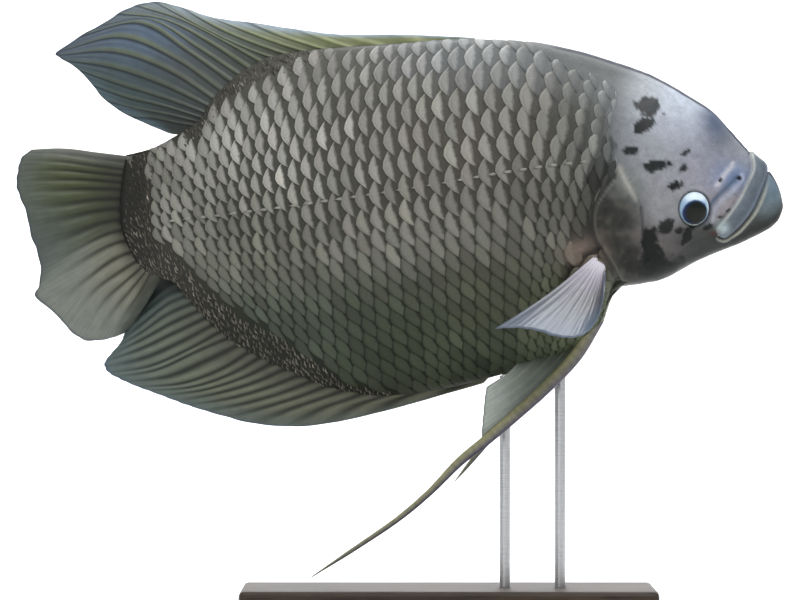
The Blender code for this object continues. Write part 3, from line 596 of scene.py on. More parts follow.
skin_ground, _ = paint_skin(plain_skin[:, 0], plain_skin[:, 2])
add_tone(skin.data, "tone", skin_ground)
print("smudges:", len(SMUDGES))

# %% [markdown]
# A finish is a small network of nodes. The helpers below add a node with its settings and wire it, so that
# each finish reads as a short recipe. Numbers that are the same all over are set on the shader itself.

# %% Helpers for finishes
class Finish:
    """A procedural material and the few nodes it is made of."""

    def __init__(self, name, roughness=0.5, **constants):
        self.material = bpy.data.materials.new(name)
        self.material.use_nodes = True
        self.tree = self.material.node_tree
        self.shader = self.tree.nodes["Principled BSDF"]
        self.shader.inputs["Roughness"].default_value = roughness
        for socket, value in constants.items():
            self.shader.inputs[socket.replace("_", " ")].default_value = value

    def node(self, kind, values=(), **settings):
        made = self.tree.nodes.new(kind)
        for key, value in settings.items():
            setattr(made, key, value)
        for socket, value in dict(values).items():
            if isinstance(value, bpy.types.NodeSocket):
                self.tree.links.new(value, made.inputs[socket])
            else:
                made.inputs[socket].default_value = value
        return made

    def maths(self, operation, *values):
        return self.node("ShaderNodeMath", dict(enumerate(values)), operation=operation).outputs[0]

    def tone(self, name):
        return self.node("ShaderNodeAttribute", attribute_name=name).outputs["Color"]

    def flat_map(self, name):
        return self.node("ShaderNodeUVMap", uv_map=name).outputs[0]

    def place(self):
        return self.node("ShaderNodeTexCoord").outputs["Object"]

    def stretched(self, vector, scale, turn=(0, 0, 0)):
        return self.node("ShaderNodeMapping", {"Vector": vector, "Scale": scale, "Rotation": turn}).outputs[0]

    def grain(self, vector, scale, detail=3.0, rough=0.5):
        values = {"Vector": vector, "Scale": scale, "Detail": detail, "Roughness": rough}
        return self.node("ShaderNodeTexNoise", values).outputs[0]

    def between(self, share, low, high, to_low=0.0, to_high=1.0):
        values = {"Value": share, "From Min": low, "From Max": high, "To Min": to_low, "To Max": to_high}
        return self.node("ShaderNodeMapRange", values, clamp=True).outputs[0]

    def mix(self, share, first, second, blend="MIX"):
        made = self.node("ShaderNodeMix", data_type="RGBA", blend_type=blend)
        for index, value in ((0, share), (6, first), (7, second)):
            if isinstance(value, bpy.types.NodeSocket):
                self.tree.links.new(value, made.inputs[index])
            else:
                made.inputs[index].default_value = value if index == 0 else (*value, 1.0)
        return made.outputs[2]

    def shaded(self, colour, shade):
        """The colour made darker or lighter by one number."""
        grey = self.node("ShaderNodeCombineColor", {"Red": shade, "Green": shade, "Blue": shade}).outputs[0]
        return self.mix(1.0, colour, grey, "MULTIPLY")

    def to(self, socket, value):
        self.tree.links.new(value, self.shader.inputs[socket])

    def bump(self, height, strength, distance):
        values = {"Height": height, "Strength": strength, "Distance": distance}
        self.to("Normal", self.node("ShaderNodeBump", values).outputs[0])


def dress(piece, finish):
    piece.data.materials.clear()
    piece.data.materials.append(finish.material)


print("finish helpers ready")

# %% [markdown]
# Fish skin is wet-looking but not mirror smooth: a thin slime over fine grain. The tone comes from the
# painted vertices, two sizes of noise break it up, the same noise varies the gloss, and a shallow bump gives
# the pores and tiny folds that the light catches on the brow.

# %% Finish of the skin
def skin_finish(name, base_roughness, bump):
    made = Finish(name, base_roughness, Specular_IOR_Level=0.16, Coat_Weight=0.02, Coat_Roughness=0.3)
    place = made.place()
    coarse = made.grain(place, 160.0, 4.0, 0.55)
    fine = made.grain(place, 620.0, 3.0, 0.6)
    specks = made.between(made.grain(place, 330.0, 2.0, 0.5), 0.60, 0.74)
    clouds, pores = made.between(coarse, 0.3, 0.7, 0.86, 1.12), made.between(fine, 0.3, 0.7, 0.92, 1.07)
    colour = made.shaded(made.tone("tone"), made.maths("MULTIPLY", clouds, pores))
    colour = made.mix(made.maths("MULTIPLY", specks, 0.16), colour, (0.06, 0.07, 0.08))
    made.to("Base Color", colour)
    made.to("Roughness", made.between(coarse, 0.25, 0.75, base_roughness - 0.1, base_roughness + 0.1))
    height = made.maths("ADD", made.maths("MULTIPLY", coarse, 0.6), made.maths("MULTIPLY", fine, 0.4))
    made.bump(height, bump, 0.0008)
    return made


dress(skin, skin_finish("skin_finish", 0.42, 0.35))
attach(skin, "root")
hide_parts("head", "lip_upper", "jaw_lower", "gill_cover_left", "gill_cover_right", "torso",
            "tail_stem")
print("skin dressed")

# %% [markdown]
# The eye is a flattened ball with a large dark pupil that sits low, under a broad white crescent, ringed by
# silver and a thin dark line. The ball is a sphere pressed flat and set into its socket, and the rings are
# drawn in the finish by the distance from the pupil's centre, in the ball's own flat map.

# %% Eyes
def side_point(x, z, side, out=0.0):
    return Vector((x, side * (float(half_width_at(x, z)) + out), z)) * MM + Vector((0, 0, AXIS_HEIGHT))


def side_frame(x, z, side):
    """Axes forward, up and outward on the flank at a place of the side view."""
    ahead = side_point(x + 2, z, side) - side_point(x - 2, z, side)
    up = side_point(x, z + 2, side) - side_point(x, z - 2, side)
    out = ahead.cross(up).normalized()
    out = out if out.y * side > 0 else -out
    up = (up - out * up.dot(out)).normalized()
    ahead = (ahead - out * ahead.dot(out) - up * ahead.dot(up)).normalized()
    return ahead, up, out


SIDES = ((-1, "right"), (1, "left"))
PUPIL_PLACE, PUPIL_HALF = (-0.01, -0.20), (0.78, 0.69)
EYE_SPARE, EYE_DEEP, EYE_SUNK = 0.5, 6.4, 0.0026


def eye_finish():
    made = Finish("eye_finish", 0.16, Specular_IOR_Level=0.12, Coat_Weight=0.1, Coat_Roughness=0.05)
    flat = made.flat_map("EyeUV")
    shrink = [1 / half for half in PUPIL_HALF] + [0.0]
    shift = [-place / half for place, half in zip(PUPIL_PLACE, PUPIL_HALF)] + [0.0]
    local = made.node("ShaderNodeVectorMath", {0: flat, 1: shrink, 2: shift}, operation="MULTIPLY_ADD")
    pupil_gap = made.node("ShaderNodeVectorMath", {0: local.outputs[0]}, operation="LENGTH").outputs["Value"]
    rim_gap = made.node("ShaderNodeVectorMath", {0: flat}, operation="LENGTH").outputs["Value"]
    wobble = made.between(made.grain(made.place(), 420.0, 2.0), 0.3, 0.7, -0.02, 0.02)
    pupil_gap = made.maths("ADD", pupil_gap, wobble)
    split = made.node("ShaderNodeSeparateXYZ", {0: flat})
    ahead, height = split.outputs[0], split.outputs[1]
    blue, white = paint_tone(120, 152, 190), paint_tone(208, 222, 230)
    crescent = made.mix(made.between(height, 0.28, 0.62), blue, white)
    streak = made.between(made.grain(made.stretched(flat, (14.0, 3.0, 1.0)), 3.0, 3.0), 0.35, 0.7)
    crescent = made.mix(made.maths("MULTIPLY", streak, 0.2), crescent, paint_tone(140, 165, 200))
    ring = made.mix(made.between(height, -0.85, -0.2), paint_tone(176, 186, 152), crescent)
    ring = made.mix(made.between(ahead, -0.5, -0.85), ring, paint_tone(150, 176, 200))
    ring = made.mix(made.between(ahead, 0.62, 0.85), ring, paint_tone(176, 196, 202))
    ring = made.mix(made.between(pupil_gap, 1.0, 1.12), paint_tone(62, 84, 118), ring)
    navy = made.maths("MULTIPLY", made.between(pupil_gap, 0.68, 1.0), made.between(ahead, 0.0, -0.7))
    inner = made.mix(navy, paint_tone(22, 27, 22), paint_tone(26, 42, 84))
    navy = made.maths("MULTIPLY", made.between(pupil_gap, 0.82, 1.0), made.between(height, 0.0, 0.45))
    inner = made.mix(navy, inner, paint_tone(40, 54, 82))
    colour = made.mix(made.between(pupil_gap, 0.95, 1.02), inner, ring)
    colour = made.mix(made.between(rim_gap, 0.94, 0.985), colour, paint_tone(28, 32, 46))
    made.to("Base Color", colour)
    return made


glass = eye_finish()
for side, word in SIDES:
    select_none()
    bpy.ops.mesh.primitive_uv_sphere_add(segments=64, ring_count=40, radius=1.0, calc_uvs=True)
    eye = bpy.context.object
    eye.name = "eyeball_" + word
    round_ball = read_points(eye.data)
    ahead, up, out = side_frame(*EYE_PLACE, side)
    flat_map = eye.data.uv_layers[0]
    flat_map.name = "EyeUV"
    corners = np.array([loop.vertex_index for loop in eye.data.loops])
    flat_map.data.foreach_set("uv", round_ball[corners][:, :2].ravel())
    shaped = round_ball * np.array([EYE_WIDE + EYE_SPARE, EYE_HIGH + EYE_SPARE, EYE_DEEP]) * MM
    centre = side_point(*EYE_PLACE, side) - out * EYE_SUNK
    write_points(eye.data, shaped @ np.array([ahead, up, out]) + np.array(centre))
    face_outwards()
    dress(eye, glass)
    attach(eye, "root")
    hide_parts("eye_" + word)
    print(eye.name, "at", [round(v, 3) for v in centre])

# %% [markdown]
# Scales grow in slanting rows beside the lateral line, each row shifted by half a scale, with their free
# edges to the tail. To lay them out evenly, the body's side is unrolled: one coordinate runs along the fish
# and the other is the length of skin up or down from the widest level, so scales keep their size on the back.

# %% The body's side unrolled
COAT_END, UNROLL_PLACES, UNROLL_ANGLES = 200.0, 404, 241
UNROLL_X = np.linspace(TAIL_END, COAT_END, UNROLL_PLACES)
UNROLL_ANGLE = np.radians(np.linspace(-90, 90, UNROLL_ANGLES))
unrolled = body_point(UNROLL_X[:, None], UNROLL_ANGLE[None, :])
steps = np.linalg.norm(np.diff(unrolled[..., 1:], axis=1), axis=2)
girth = np.concatenate([np.zeros((len(UNROLL_X), 1)), np.cumsum(steps, axis=1)], axis=1)
middle = np.array([np.interp(0.0, UNROLL_ANGLE, row) for row in girth])
girth -= middle[:, None]
SHARES = np.linspace(0, 1, UNROLL_ANGLES)
angle_of_share = np.array([np.interp(low + SHARES * (high - low), row, UNROLL_ANGLE)
                           for row, low, high in zip(girth, girth[:, 0], girth[:, -1])])


def girth_limits(x):
    """Unrolled height of the belly's and the back's middle line."""
    return np.interp(x, UNROLL_X, girth[:, 0]), np.interp(x, UNROLL_X, girth[:, -1])


def grid_place(grid, value):
    """The even step of a grid that a value falls in, and how far into the step it is."""
    place = np.clip((np.asarray(value, float) - grid[0]) / (grid[1] - grid[0]), 0, len(grid) - 1.001)
    return place.astype(int), place - place.astype(int)


def angle_at(x, s):
    """Angle round the section at an unrolled height."""
    low, high = girth_limits(x)
    share = np.clip((s - low) / (high - low), 0, 1) * (len(SHARES) - 1)
    i, p = grid_place(UNROLL_X, x)
    k = np.minimum(share.astype(int), len(SHARES) - 2)
    q = share - k
    first = angle_of_share[i, k] * (1 - q) + angle_of_share[i, k + 1] * q
    second = angle_of_share[i + 1, k] * (1 - q) + angle_of_share[i + 1, k + 1] * q
    return first * (1 - p) + second * p


def side_height(x, s):
    """Height z of an unrolled place in the side view."""
    return body_point(x, angle_at(x, s))[:, 2]


def rolled(x, s):
    """Point of the right side at unrolled coordinates, and the direction out of the skin."""
    x, s = np.asarray(x, float), np.asarray(s, float)
    ahead = body_point(x + 0.8, angle_at(x + 0.8, s)) - body_point(x - 0.8, angle_at(x - 0.8, s))
    up = body_point(x, angle_at(x, s + 0.8)) - body_point(x, angle_at(x, s - 0.8))
    out = np.cross(ahead, up)
    out /= np.linalg.norm(out, axis=-1, keepdims=True) + 1e-12
    return body_point(x, angle_at(x, s)), out


def unrolled_height(x, z):
    """Unrolled height of a place of the side view."""
    top, bottom, _, level = section(x)
    up = np.clip((z - level) / np.where(z > level, top - level, level - bottom), -1, 1)
    i, _ = grid_place(UNROLL_X, x)
    j, share = grid_place(UNROLL_ANGLE, np.arcsin(up))
    return girth[i, j] * (1 - share) + girth[i, j + 1] * share


lowest, highest = girth_limits(0.0)
print("skin length from belly to back at the middle:", round(float(highest - lowest), 1), "mm")

# %% [markdown]
# The lateral line is the row that all others follow. Its course, the distance between scales in a row, the
# distance between rows and how the rows close up towards the tail are curves measured on the fish. Along
# each row, scales stand wherever the count along the lateral line, seen square to the row, is whole.

# %% Rows of scales
LATERAL_LINE = [(-203, -12), (-168, -7), (-120, -1.5), (-60, 6.5), (14, 17.5), (70, 27), (110, 33), (160, 38)]
ROW_LINE = [(-203, -21), (-180, -18), (-150, -14.5), (-120, -11.5), (-90, -7.5), (-60, -0.5), (-30, 8),
            (0, 15.5), (30, 21.5), (60, 27), (90, 31), (105, 31), (120, 28), (145, 19), (165, 12)]
SCALE_STEP = [(-203, 5.5), (-180, 6.8), (-150, 8.2), (-120, 8.4), (-90, 9.0), (-60, 9.6), (-30, 10.1),
              (0, 10.6), (30, 11.5), (60, 12.4), (90, 12.0), (120, 10.2), (160, 9.0)]
ROW_CLOSING = [(-203, 0.45), (-180, 0.53), (-150, 0.64), (-120, 0.73), (-90, 0.84), (-60, 0.95), (-30, 1.0),
               (60, 1.0), (90, 0.95), (120, 0.83), (140, 0.74), (160, 0.66)]
STEP_BEYOND = 11.0
# sideways lean of the columns of scales, by height over the line and, near the head, by place
COLUMN_LEAN = [(-110, -0.10), (-60, -0.06), (-20, -0.03), (10, -0.04), (30, 0.03), (55, 0.18), (80, 0.36),
               (120, 0.5)]
HEAD_LEAN = [(20, 0.0), (60, 0.08), (90, 0.15), (120, 0.33), (150, 0.45)]
ROWS_ABOVE = [18.2, 18.4, 18.4, 18.0, 17.4, 16.4, 15.4, 14.4, 13.6]
ROWS_BELOW = [17.6, 15.6, 13.8, 12.5, 11.8, 11.5, 11.5, 11.6, 11.8, 11.8, 11.6, 11.4, 11.2, 11.0]
row_heights = np.concatenate([-np.cumsum(ROWS_BELOW)[::-1], [0.0], np.cumsum(ROWS_ABOVE)])


line_x = np.linspace(-201.0, 164.0, 1461)
line_s = unrolled_height(line_x, through(ROW_LINE, line_x))
line_count = np.concatenate([[0.0], np.cumsum(np.diff(line_x) / through(SCALE_STEP, line_x)[1:])])
lean_heights = np.arange(-160.0, 161.0, 1.0)
lean_shift = np.cumsum(through(COLUMN_LEAN, lean_heights))
lean_shift -= lean_shift[160]


def lay_rows():
    """Place (x, s), step, row gap, tilt and sideways lean of every scale of one side."""
    found = []
    for number, height in enumerate(row_heights):
        row_s = line_s + height * through(ROW_CLOSING, line_x)
        rise = row_s - line_s
        foot = line_x - np.interp(rise, lean_heights, lean_shift)
        foot -= through(HEAD_LEAN, line_x) * np.minimum(rise, 30)
        beyond = foot - np.clip(foot, line_x[0], line_x[-1])
        count = np.interp(foot, line_x, line_count) + beyond / STEP_BEYOND
        whole = np.arange(math.ceil(count[0]), math.floor(count[-1]) + 1)
        rising = np.maximum.accumulate(count + np.arange(len(count)) * 1e-9)
        x = np.interp(whole, rising, line_x)
        s = np.interp(x, line_x, row_s)
        tilt = np.arctan(np.interp(x, line_x, np.gradient(row_s, line_x)))
        inner = min(max(number, 1), len(row_heights) - 2)
        gap = 0.5 * (row_heights[inner + 1] - row_heights[inner - 1]) * through(ROW_CLOSING, x) * np.cos(tilt)
        step = np.gradient(x) / np.cos(tilt)
        column = through(COLUMN_LEAN, height * through(ROW_CLOSING, x)) + through(HEAD_LEAN, x)
        fore = 0.9 * ramp((x - 80) / 40) * ramp((height + 10) / 30)
        share = 0.75 + 0.35 * np.maximum(ramp(-height / 40), ramp((-80 - x) / 60))
        lean = (1 - fore) * share * np.arctan(0.5 * step / gap - column) + fore * 0.35 * tilt
        found.append(np.stack([x, s, step, gap, tilt, lean], axis=1))
    return np.concatenate(found)


def small_scale_strip(x):
    """Width of the strips of small scales above the anal fin and under the soft dorsal fin."""
    anal = (7.0 + 18.0 * ramp((-20.0 - x) / 70.0)) * ramp((2.0 - x) / 16.0) * ramp((x + 192) / 14)
    dorsal = 15.0 * ramp((-56.0 - x) / 24.0) * ramp((x + 164) / 14)
    return anal, dorsal


def keep_on_flank(rows):
    """Leave out scales on the head, over the back or belly, and where fins and small scales take over."""
    x, s, step, gap = rows.T[:4]
    low, high = girth_limits(x)
    z = side_height(x, s)
    anal, dorsal = small_scale_strip(x)
    behind_head = gap_to(COAT_FRONT, x - 0.35 * step, z) < -1.0
    between_strips = (s < high - 0.15 * gap - dorsal) & (s > low + 0.15 * gap + 1.16 * anal) & (x > -182.0)
    in_hollow = (np.abs(gap_to(AXIL, x, z) + 2) < 6) & (x > 117)
    under_pectoral = np.hypot((x - 135) / 13, (z + 23) / 12) <= 1
    over_nape = (x > 100) & (s > high - 0.6 * gap)
    return rows[behind_head & between_strips & ~in_hollow & ~under_pectoral & ~over_nape]


flank_rows = keep_on_flank(lay_rows())
print("scales on a side:", len(flank_rows))

# %% [markdown]
# One scale is a thin plate, rooted in the skin and lifted at its round free edge. A small grid is extruded
# into a slab and the faces underneath are merged to one, which leaves a few dozen faces. Its grid gives two
# coordinates, root to edge and side to side, that carry its shape, its finish and every copy.

# %% One scale
def scale_pattern(along_faces, across_faces):
    """Grid coordinates, layer and faces of one plate: top grid, rim and a single face underneath."""
    select_none()
    bpy.ops.mesh.primitive_grid_add(x_subdivisions=along_faces, y_subdivisions=across_faces, size=2.0)
    plate = bpy.context.object
    bpy.ops.object.mode_set(mode="EDIT")
    bpy.ops.mesh.select_all(action="SELECT")
    bpy.ops.mesh.extrude_region_move(TRANSFORM_OT_translate={"value": (0.0, 0.0, 1.0)})
    bpy.ops.mesh.select_all(action="DESELECT")
    bpy.ops.object.mode_set(mode="OBJECT")
    for face in plate.data.polygons:
        face.select = all(plate.data.vertices[i].co.z < 0.5 for i in face.vertices)
    bpy.ops.object.mode_set(mode="EDIT")
    bpy.ops.mesh.select_mode(type="FACE")
    bpy.ops.mesh.dissolve_faces()
    bpy.ops.object.mode_set(mode="OBJECT")
    face_outwards()
    points = read_points(plate.data)
    faces = [tuple(face.vertices) for face in plate.data.polygons]
    bpy.data.objects.remove(plate)
    return (points[:, 0] + 1) / 2, points[:, 1], points[:, 2] > 0.5, faces


PLATE = scale_pattern(5, 6)
FLECK = scale_pattern(2, 2)
print("faces of a scale:", len(PLATE[3]), "and of a small one:", len(FLECK[3]))

# %% [markdown]
# Copies are placed on the unrolled side and rolled back onto the body, so each plate bends with the skin
# under it. The free edge is an arc whose middle reaches furthest back. Small differences in size, turn and
# tone keep the coat from looking stamped.

# %% Copies of the scale on one side
PLATE_LENGTH = 1.55
rng = np.random.default_rng(7)


def plate_shape(a, b, step, gap, lift):
    """Local place of a plate's point: back from the root, across, and up, all in millimetres."""
    squat = ramp((1.45 - gap / step) / 0.3)
    length, half = PLATE_LENGTH * step, gap * (0.84 + 0.20 * squat)
    back = a * (length - (0.84 - 0.24 * squat) * step * np.abs(b) ** 1.7)
    across = b * half * (0.60 + 0.40 * ramp(a / 0.5)) * (1 - 0.10 * a ** 4)
    up = -0.55 + (0.55 + lift) * back / length + 0.10 * (1 - b * b) * ramp(a * 1.4)
    return back, across, up


def lay_plates(rows, pattern, lift=0.62, thickness=0.26, sink=0.8):
    """Points of all plates of one side, in rows of the pattern's points."""
    a, b, top, _ = pattern
    x, s, step, gap, tilt, lean = rows.T
    count = len(rows)
    step = step * rng.uniform(0.97, 1.03, count)
    gap = gap * rng.uniform(0.97, 1.03, count)
    tilt = tilt + rng.normal(0, 0.025, count)
    lifts = lift * rng.uniform(0.93, 1.07, count)
    back, across, up = plate_shape(a[None, :], b[None, :], step[:, None], gap[:, None], lifts[:, None])
    back = back - (PLATE_LENGTH * step)[:, None] + 0.55 * step[:, None]
    up = up - np.where(top, 0.0, thickness)[None, :] - sink
    aside, upward = np.sin(lean)[:, None], np.cos(lean)[:, None]
    px = x[:, None] - back * np.cos(tilt)[:, None] - across * aside
    ps = s[:, None] - back * np.sin(tilt)[:, None] + across * upward
    low, high = girth_limits(px)
    over = np.maximum(ps - high, 0) + np.maximum(low - ps, 0)
    points, out = rolled(px, np.clip(ps, low, high))
    return points + out * (up - 0.35 * over)[..., None]


side_plates = lay_plates(flank_rows, PLATE)
print("points of a side's scales:", side_plates.shape[0] * side_plates.shape[1])

# %% [markdown]
# The copies are joined to one mesh a side. Two flat maps go with it: one holds the plate's own coordinates
# for the finish, and the other, for baking, gives every scale a small patch at the place of its root on the
# skin's own unwrap. The left side is the mirror image, with its faces turned to point outwards again.

# %% Join the scales into one coat piece a side
def skin_map(x, s, side):
    """Place on the skin's own unwrap: round the body and along it."""
    angle = angle_at(x, s)
    around = (angle + np.pi / 2) if side < 0 else (1.5 * np.pi - angle)
    along_share = np.interp(x, RING_PLACES[1:], (np.arange(SKIN_RINGS) + 1.0) / SKIN_RINGS)
    return np.stack([around / (2 * np.pi), along_share], axis=-1)


def join_plates(name, points, pattern, roots, side, patch, tones):
    """One mesh of all plates of a side, with its flat maps and per-scale tones."""
    a, b, _, faces = pattern
    count, per = points.shape[:2]
    world = to_world(points.reshape(-1, 3) * np.array([1.0, -side, 1.0]))
    order = [face if side < 0 else face[::-1] for face in faces]
    sizes = np.array([len(face) for face in order])
    flat = np.concatenate([np.array(face) for face in order])
    mesh = bpy.data.meshes.new(name)
    mesh.vertices.add(count * per)
    mesh.loops.add(count * len(flat))
    mesh.polygons.add(count * len(sizes))
    mesh.vertices.foreach_set("co", world.ravel())
    copy = np.arange(count)[:, None]
    starts = np.concatenate([[0], np.cumsum(sizes)[:-1]])
    mesh.loops.foreach_set("vertex_index", (flat + per * copy).ravel().astype(np.int32))
    mesh.polygons.foreach_set("loop_start", (starts + len(flat) * copy).ravel().astype(np.int32))
    mesh.update(calc_edges=True)
    own = np.stack([a, (b + 1) / 2], axis=1)[flat]
    bake = skin_map(roots[:, 0], roots[:, 1], side)[:, None, :] + (own - 0.5) * patch
    for map_name, places in (("ScaleUV", np.tile(own, (count, 1))), ("OFBake", bake)):
        mesh.uv_layers.new(name=map_name).data.foreach_set("uv", places.ravel())
    for tone_name, tone in tones.items():
        add_tone(mesh, tone_name, np.repeat(tone, per, axis=0))
    mesh.shade_smooth()
    return link_new(name, mesh)


# depth below the lateral line: where the pale leaf begins on the plate, and how bright the painted highlight
# on its rim is, stronger on the upper flank
LEAF_BEGIN = [(-90, 0.60), (-12, 0.60), (20, 0.54), (55, 0.45), (120, 0.41)]
LEAF_RIM_HIGHLIGHT = [(-60, 0.95), (0, 0.75), (40, 0.40), (80, 0.25)]
TONE_SPREAD, CAST_SPREAD = 0.14, 0.008


def coat_tones(rows):
    """Ground and pale tone and the leaf's look of each scale, from the painted body, a little varied."""
    x, s, step = rows.T[:3]
    z = side_height(x, s)
    ground, pale = paint_skin(x - 0.2 * step, z)
    shade = np.exp(rng.normal(0, TONE_SPREAD, len(rows)) + 0.09 * wander(x, z, 26, 31))[:, None]
    cast = 1 + CAST_SPREAD * rng.normal(0, 1, (len(rows), 3))
    depth = through(LATERAL_LINE, x) - z
    nape = (1 - ramp((-gap_to(COAT_FRONT, x, z) - 4) / 30)) * ramp((z - 40) / 30)
    begin = through(LEAF_BEGIN, depth) - 0.03 - 0.08 * ramp((-105 - x) / 45)
    leaf = np.stack([begin, through(LEAF_RIM_HIGHLIGHT, depth), nape], axis=1)
    return {"ground": ground * (0.9 + 0.1 * shade), "pale": pale * shade * cast, "leaf": leaf}


flank_tones = coat_tones(flank_rows)
scale_pieces = []
for side, word in SIDES:
    coat = join_plates("scales_" + word, side_plates, PLATE, flank_rows, side, 0.006, flank_tones)
    scale_pieces.append(coat)
    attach(coat, "root")
    print(coat.name, "faces", len(coat.data.polygons))

# %% [markdown]
# On the living fish each scale shows a pale, pointed leaf along its free edge and a dark root. The plate's
# own map draws this: the leaf is widest in the middle and ends before the corners, its outer rim carries a
# painted highlight, bright and sharp, its inner side fades into the dark root, and fine growth lines run
# round it. The dark root is partly the scale's own colour and partly painted shadow of the next scale's edge.

# %% Finish of the scales
def scale_finish():
    made = Finish("scale_finish", 0.45, Specular_IOR_Level=0.14)
    split = made.node("ShaderNodeSeparateXYZ", {0: made.flat_map("ScaleUV")})
    reach, side = split.outputs[0], made.maths("MULTIPLY_ADD", split.outputs[1], 2.0, -1.0)
    place = made.place()
    rough = made.between(made.grain(place, 260.0, 3.0), 0.3, 0.7, -0.04, 0.04)
    fine = made.grain(place, 900.0, 2.0)
    look = made.node("ShaderNodeSeparateColor", {0: made.tone("leaf")})
    begin, shine, blur = look.outputs[0], look.outputs[1], look.outputs[2]
    bow = made.maths("POWER", made.maths("ABSOLUTE", made.maths("MULTIPLY", side, 1.12)), 1.7)
    start = made.maths("MULTIPLY_ADD", bow, made.maths("SUBTRACT", begin, 0.20), begin)
    depth = made.maths("ADD", made.maths("SUBTRACT", reach, start), made.maths("ADD", rough, 0.04))
    leaf = made.between(made.maths("DIVIDE", depth, made.maths("MULTIPLY_ADD", blur, 0.4, 0.14)), 0.0, 1.0)
    # Painted highlight along the free edge, brightening the pale tone, strongest on the upper flank.
    rim = made.maths("MULTIPLY", made.between(reach, 0.88, 0.97), made.between(bow, 0.25, 0.95, 1.0, 0.0))
    lines = made.maths("SINE", made.maths("MULTIPLY", reach, 90.0))
    bright = made.mix(1.0, made.tone("pale"), (1.55, 1.55, 1.50), "MULTIPLY")
    pale = made.mix(made.maths("MULTIPLY", rim, shine), made.tone("pale"), bright)
    # Where the leaf ends the plate keeps its dark ground tone: partly its own colour, partly painted shadow of
    # the next scale's edge.
    colour = made.mix(leaf, made.tone("ground"), pale)
    dull = made.between(shine, 0.25, 0.8, 0.75, 0.0)
    outline = made.maths("MULTIPLY", made.between(reach, 0.91, 0.99), dull)
    colour = made.mix(outline, colour, made.tone("ground"))
    shade = made.maths("MULTIPLY_ADD", made.between(fine, 0.25, 0.75), 0.22, 0.88)
    made.to("Base Color", made.shaded(colour, made.maths("MULTIPLY_ADD", lines, 0.025, shade)))
    made.to("Roughness", made.between(fine, 0.2, 0.8, 0.38, 0.58))
    made.bump(made.maths("MULTIPLY_ADD", lines, 0.25, fine), 0.2, 0.0004)
    return made


horn = scale_finish()
for coat in scale_pieces:
    dress(coat, horn)
print("scales dressed")

# %% [markdown]
# Small scales cover the root of the tail and run in narrow strips beside the rear fins. They are laid in a
# jittered net of their own. A row of short raised tubes follows the lateral line over the big scales.

# %% Small scales and the lateral line's tubes
STEM_FROM = -179.0


def lay_flecks():
    """Rows of small scales: x, s, step, gap, tilt and lean."""
    x, s = np.meshgrid(np.arange(-200.5, -4.0, 2.3), np.arange(-150.0, 150.0, 5.0))
    s = s + 2.5 * (np.arange(x.shape[1]) % 2)[None, :]
    x = x.ravel() + rng.normal(0, 0.75, x.size)
    s = s.ravel() + rng.normal(0, 0.9, x.size)
    low, high = girth_limits(x)
    anal, dorsal = small_scale_strip(x)
    by_anal, by_dorsal = s < low + anal + 1.5, s > high - dorsal - 4.0
    stay = (x < STEM_FROM) | by_anal & (anal > 4) | by_dorsal & (dorsal > 2.5)
    stay &= (s > low + 0.8) & (s < high - 0.8)
    tilt = np.where(by_dorsal & (x > -170), 0.1, np.where(x < STEM_FROM, 0.28, 0.5))
    tilt += rng.normal(0, 0.2, x.size)
    size = np.exp(rng.normal(0, 0.2, x.size))
    lean = 0.5 + rng.normal(0, 0.15, x.size)
    gap = 4.4 * size * rng.uniform(0.8, 1.2, x.size)
    return np.stack([x, s, 2.0 * size, gap, tilt, lean], axis=1)[stay]


def fleck_tones(rows):
    """Tones of the small scales, dark where they run onto the tail fin's root."""
    x, s = rows.T[:2]
    z = side_height(x, s)
    dark_root = 0.62 * ramp((-182 - x) / 6) * ramp((z + 12) / 14) * ramp((40 - z) / 10)
    shade = (np.exp(rng.normal(0, 0.35, len(rows)) + 0.25 * wander(x, z, 8, 41)) * (1 - dark_root))[:, None]
    same = np.ones((len(rows), 1))
    return {"ground": paint_tone(38, 37, 34) * same, "pale": paint_tone(101, 97, 89) * shade,
            "leaf": [0.62, 0.4, 0.1] * same}


def lay_tubes():
    """Places of the lateral line's tubes, as rows of narrow plates."""
    x = np.arange(-166.0, 140.0, 11.0)
    s = unrolled_height(x, through(LATERAL_LINE, x))
    tilt = np.arctan(np.gradient(s, x))
    return np.stack([x, s, 4.6 + 0 * x, 1.0 + 0 * x, tilt, tilt], axis=1)


fleck_rows, tube_rows = lay_flecks(), lay_tubes()
fleck_points = lay_plates(fleck_rows, FLECK, lift=0.45, thickness=0.2, sink=0.75)
tube_points = lay_plates(tube_rows, FLECK, lift=0.35, thickness=0.3, sink=0.1)
tube_tones = coat_tones(tube_rows)
tube_tones["pale"] = 0.5 * tube_tones["pale"] + 0.5 * paint_tone(142, 142, 132)
tube_tones["leaf"] = np.tile([0.1, 0.2, 0.2], (len(tube_rows), 1))
small_tones = fleck_tones(fleck_rows)
for side, word in SIDES:
    flecks = join_plates("small_scales_" + word, fleck_points, FLECK, fleck_rows, side, 0.003, small_tones)
    tubes = join_plates("lateral_line_" + word, tube_points, FLECK, tube_rows, side, 0.003, tube_tones)
    for coat in (flecks, tubes):
        dress(coat, horn)
        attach(coat, "root")
        print(coat.name, "faces", len(coat.data.polygons))

# %% [markdown]
# A fin is a thin web over bony rays that fan out from the body. The sheet starts as a flat grid: its columns
# follow the rays between named first and last ones, its rows run from root to edge. A Solidify modifier then
# gives it thickness from a vertex group, full on the rays and thin on the web, so the rays stand out.

# %% Fin sheets
FIN_FULL, WEB_ROOT, WEB_EDGE = 0.0034, 0.0011, 0.00055
EDGE_NOTCH = 0.006


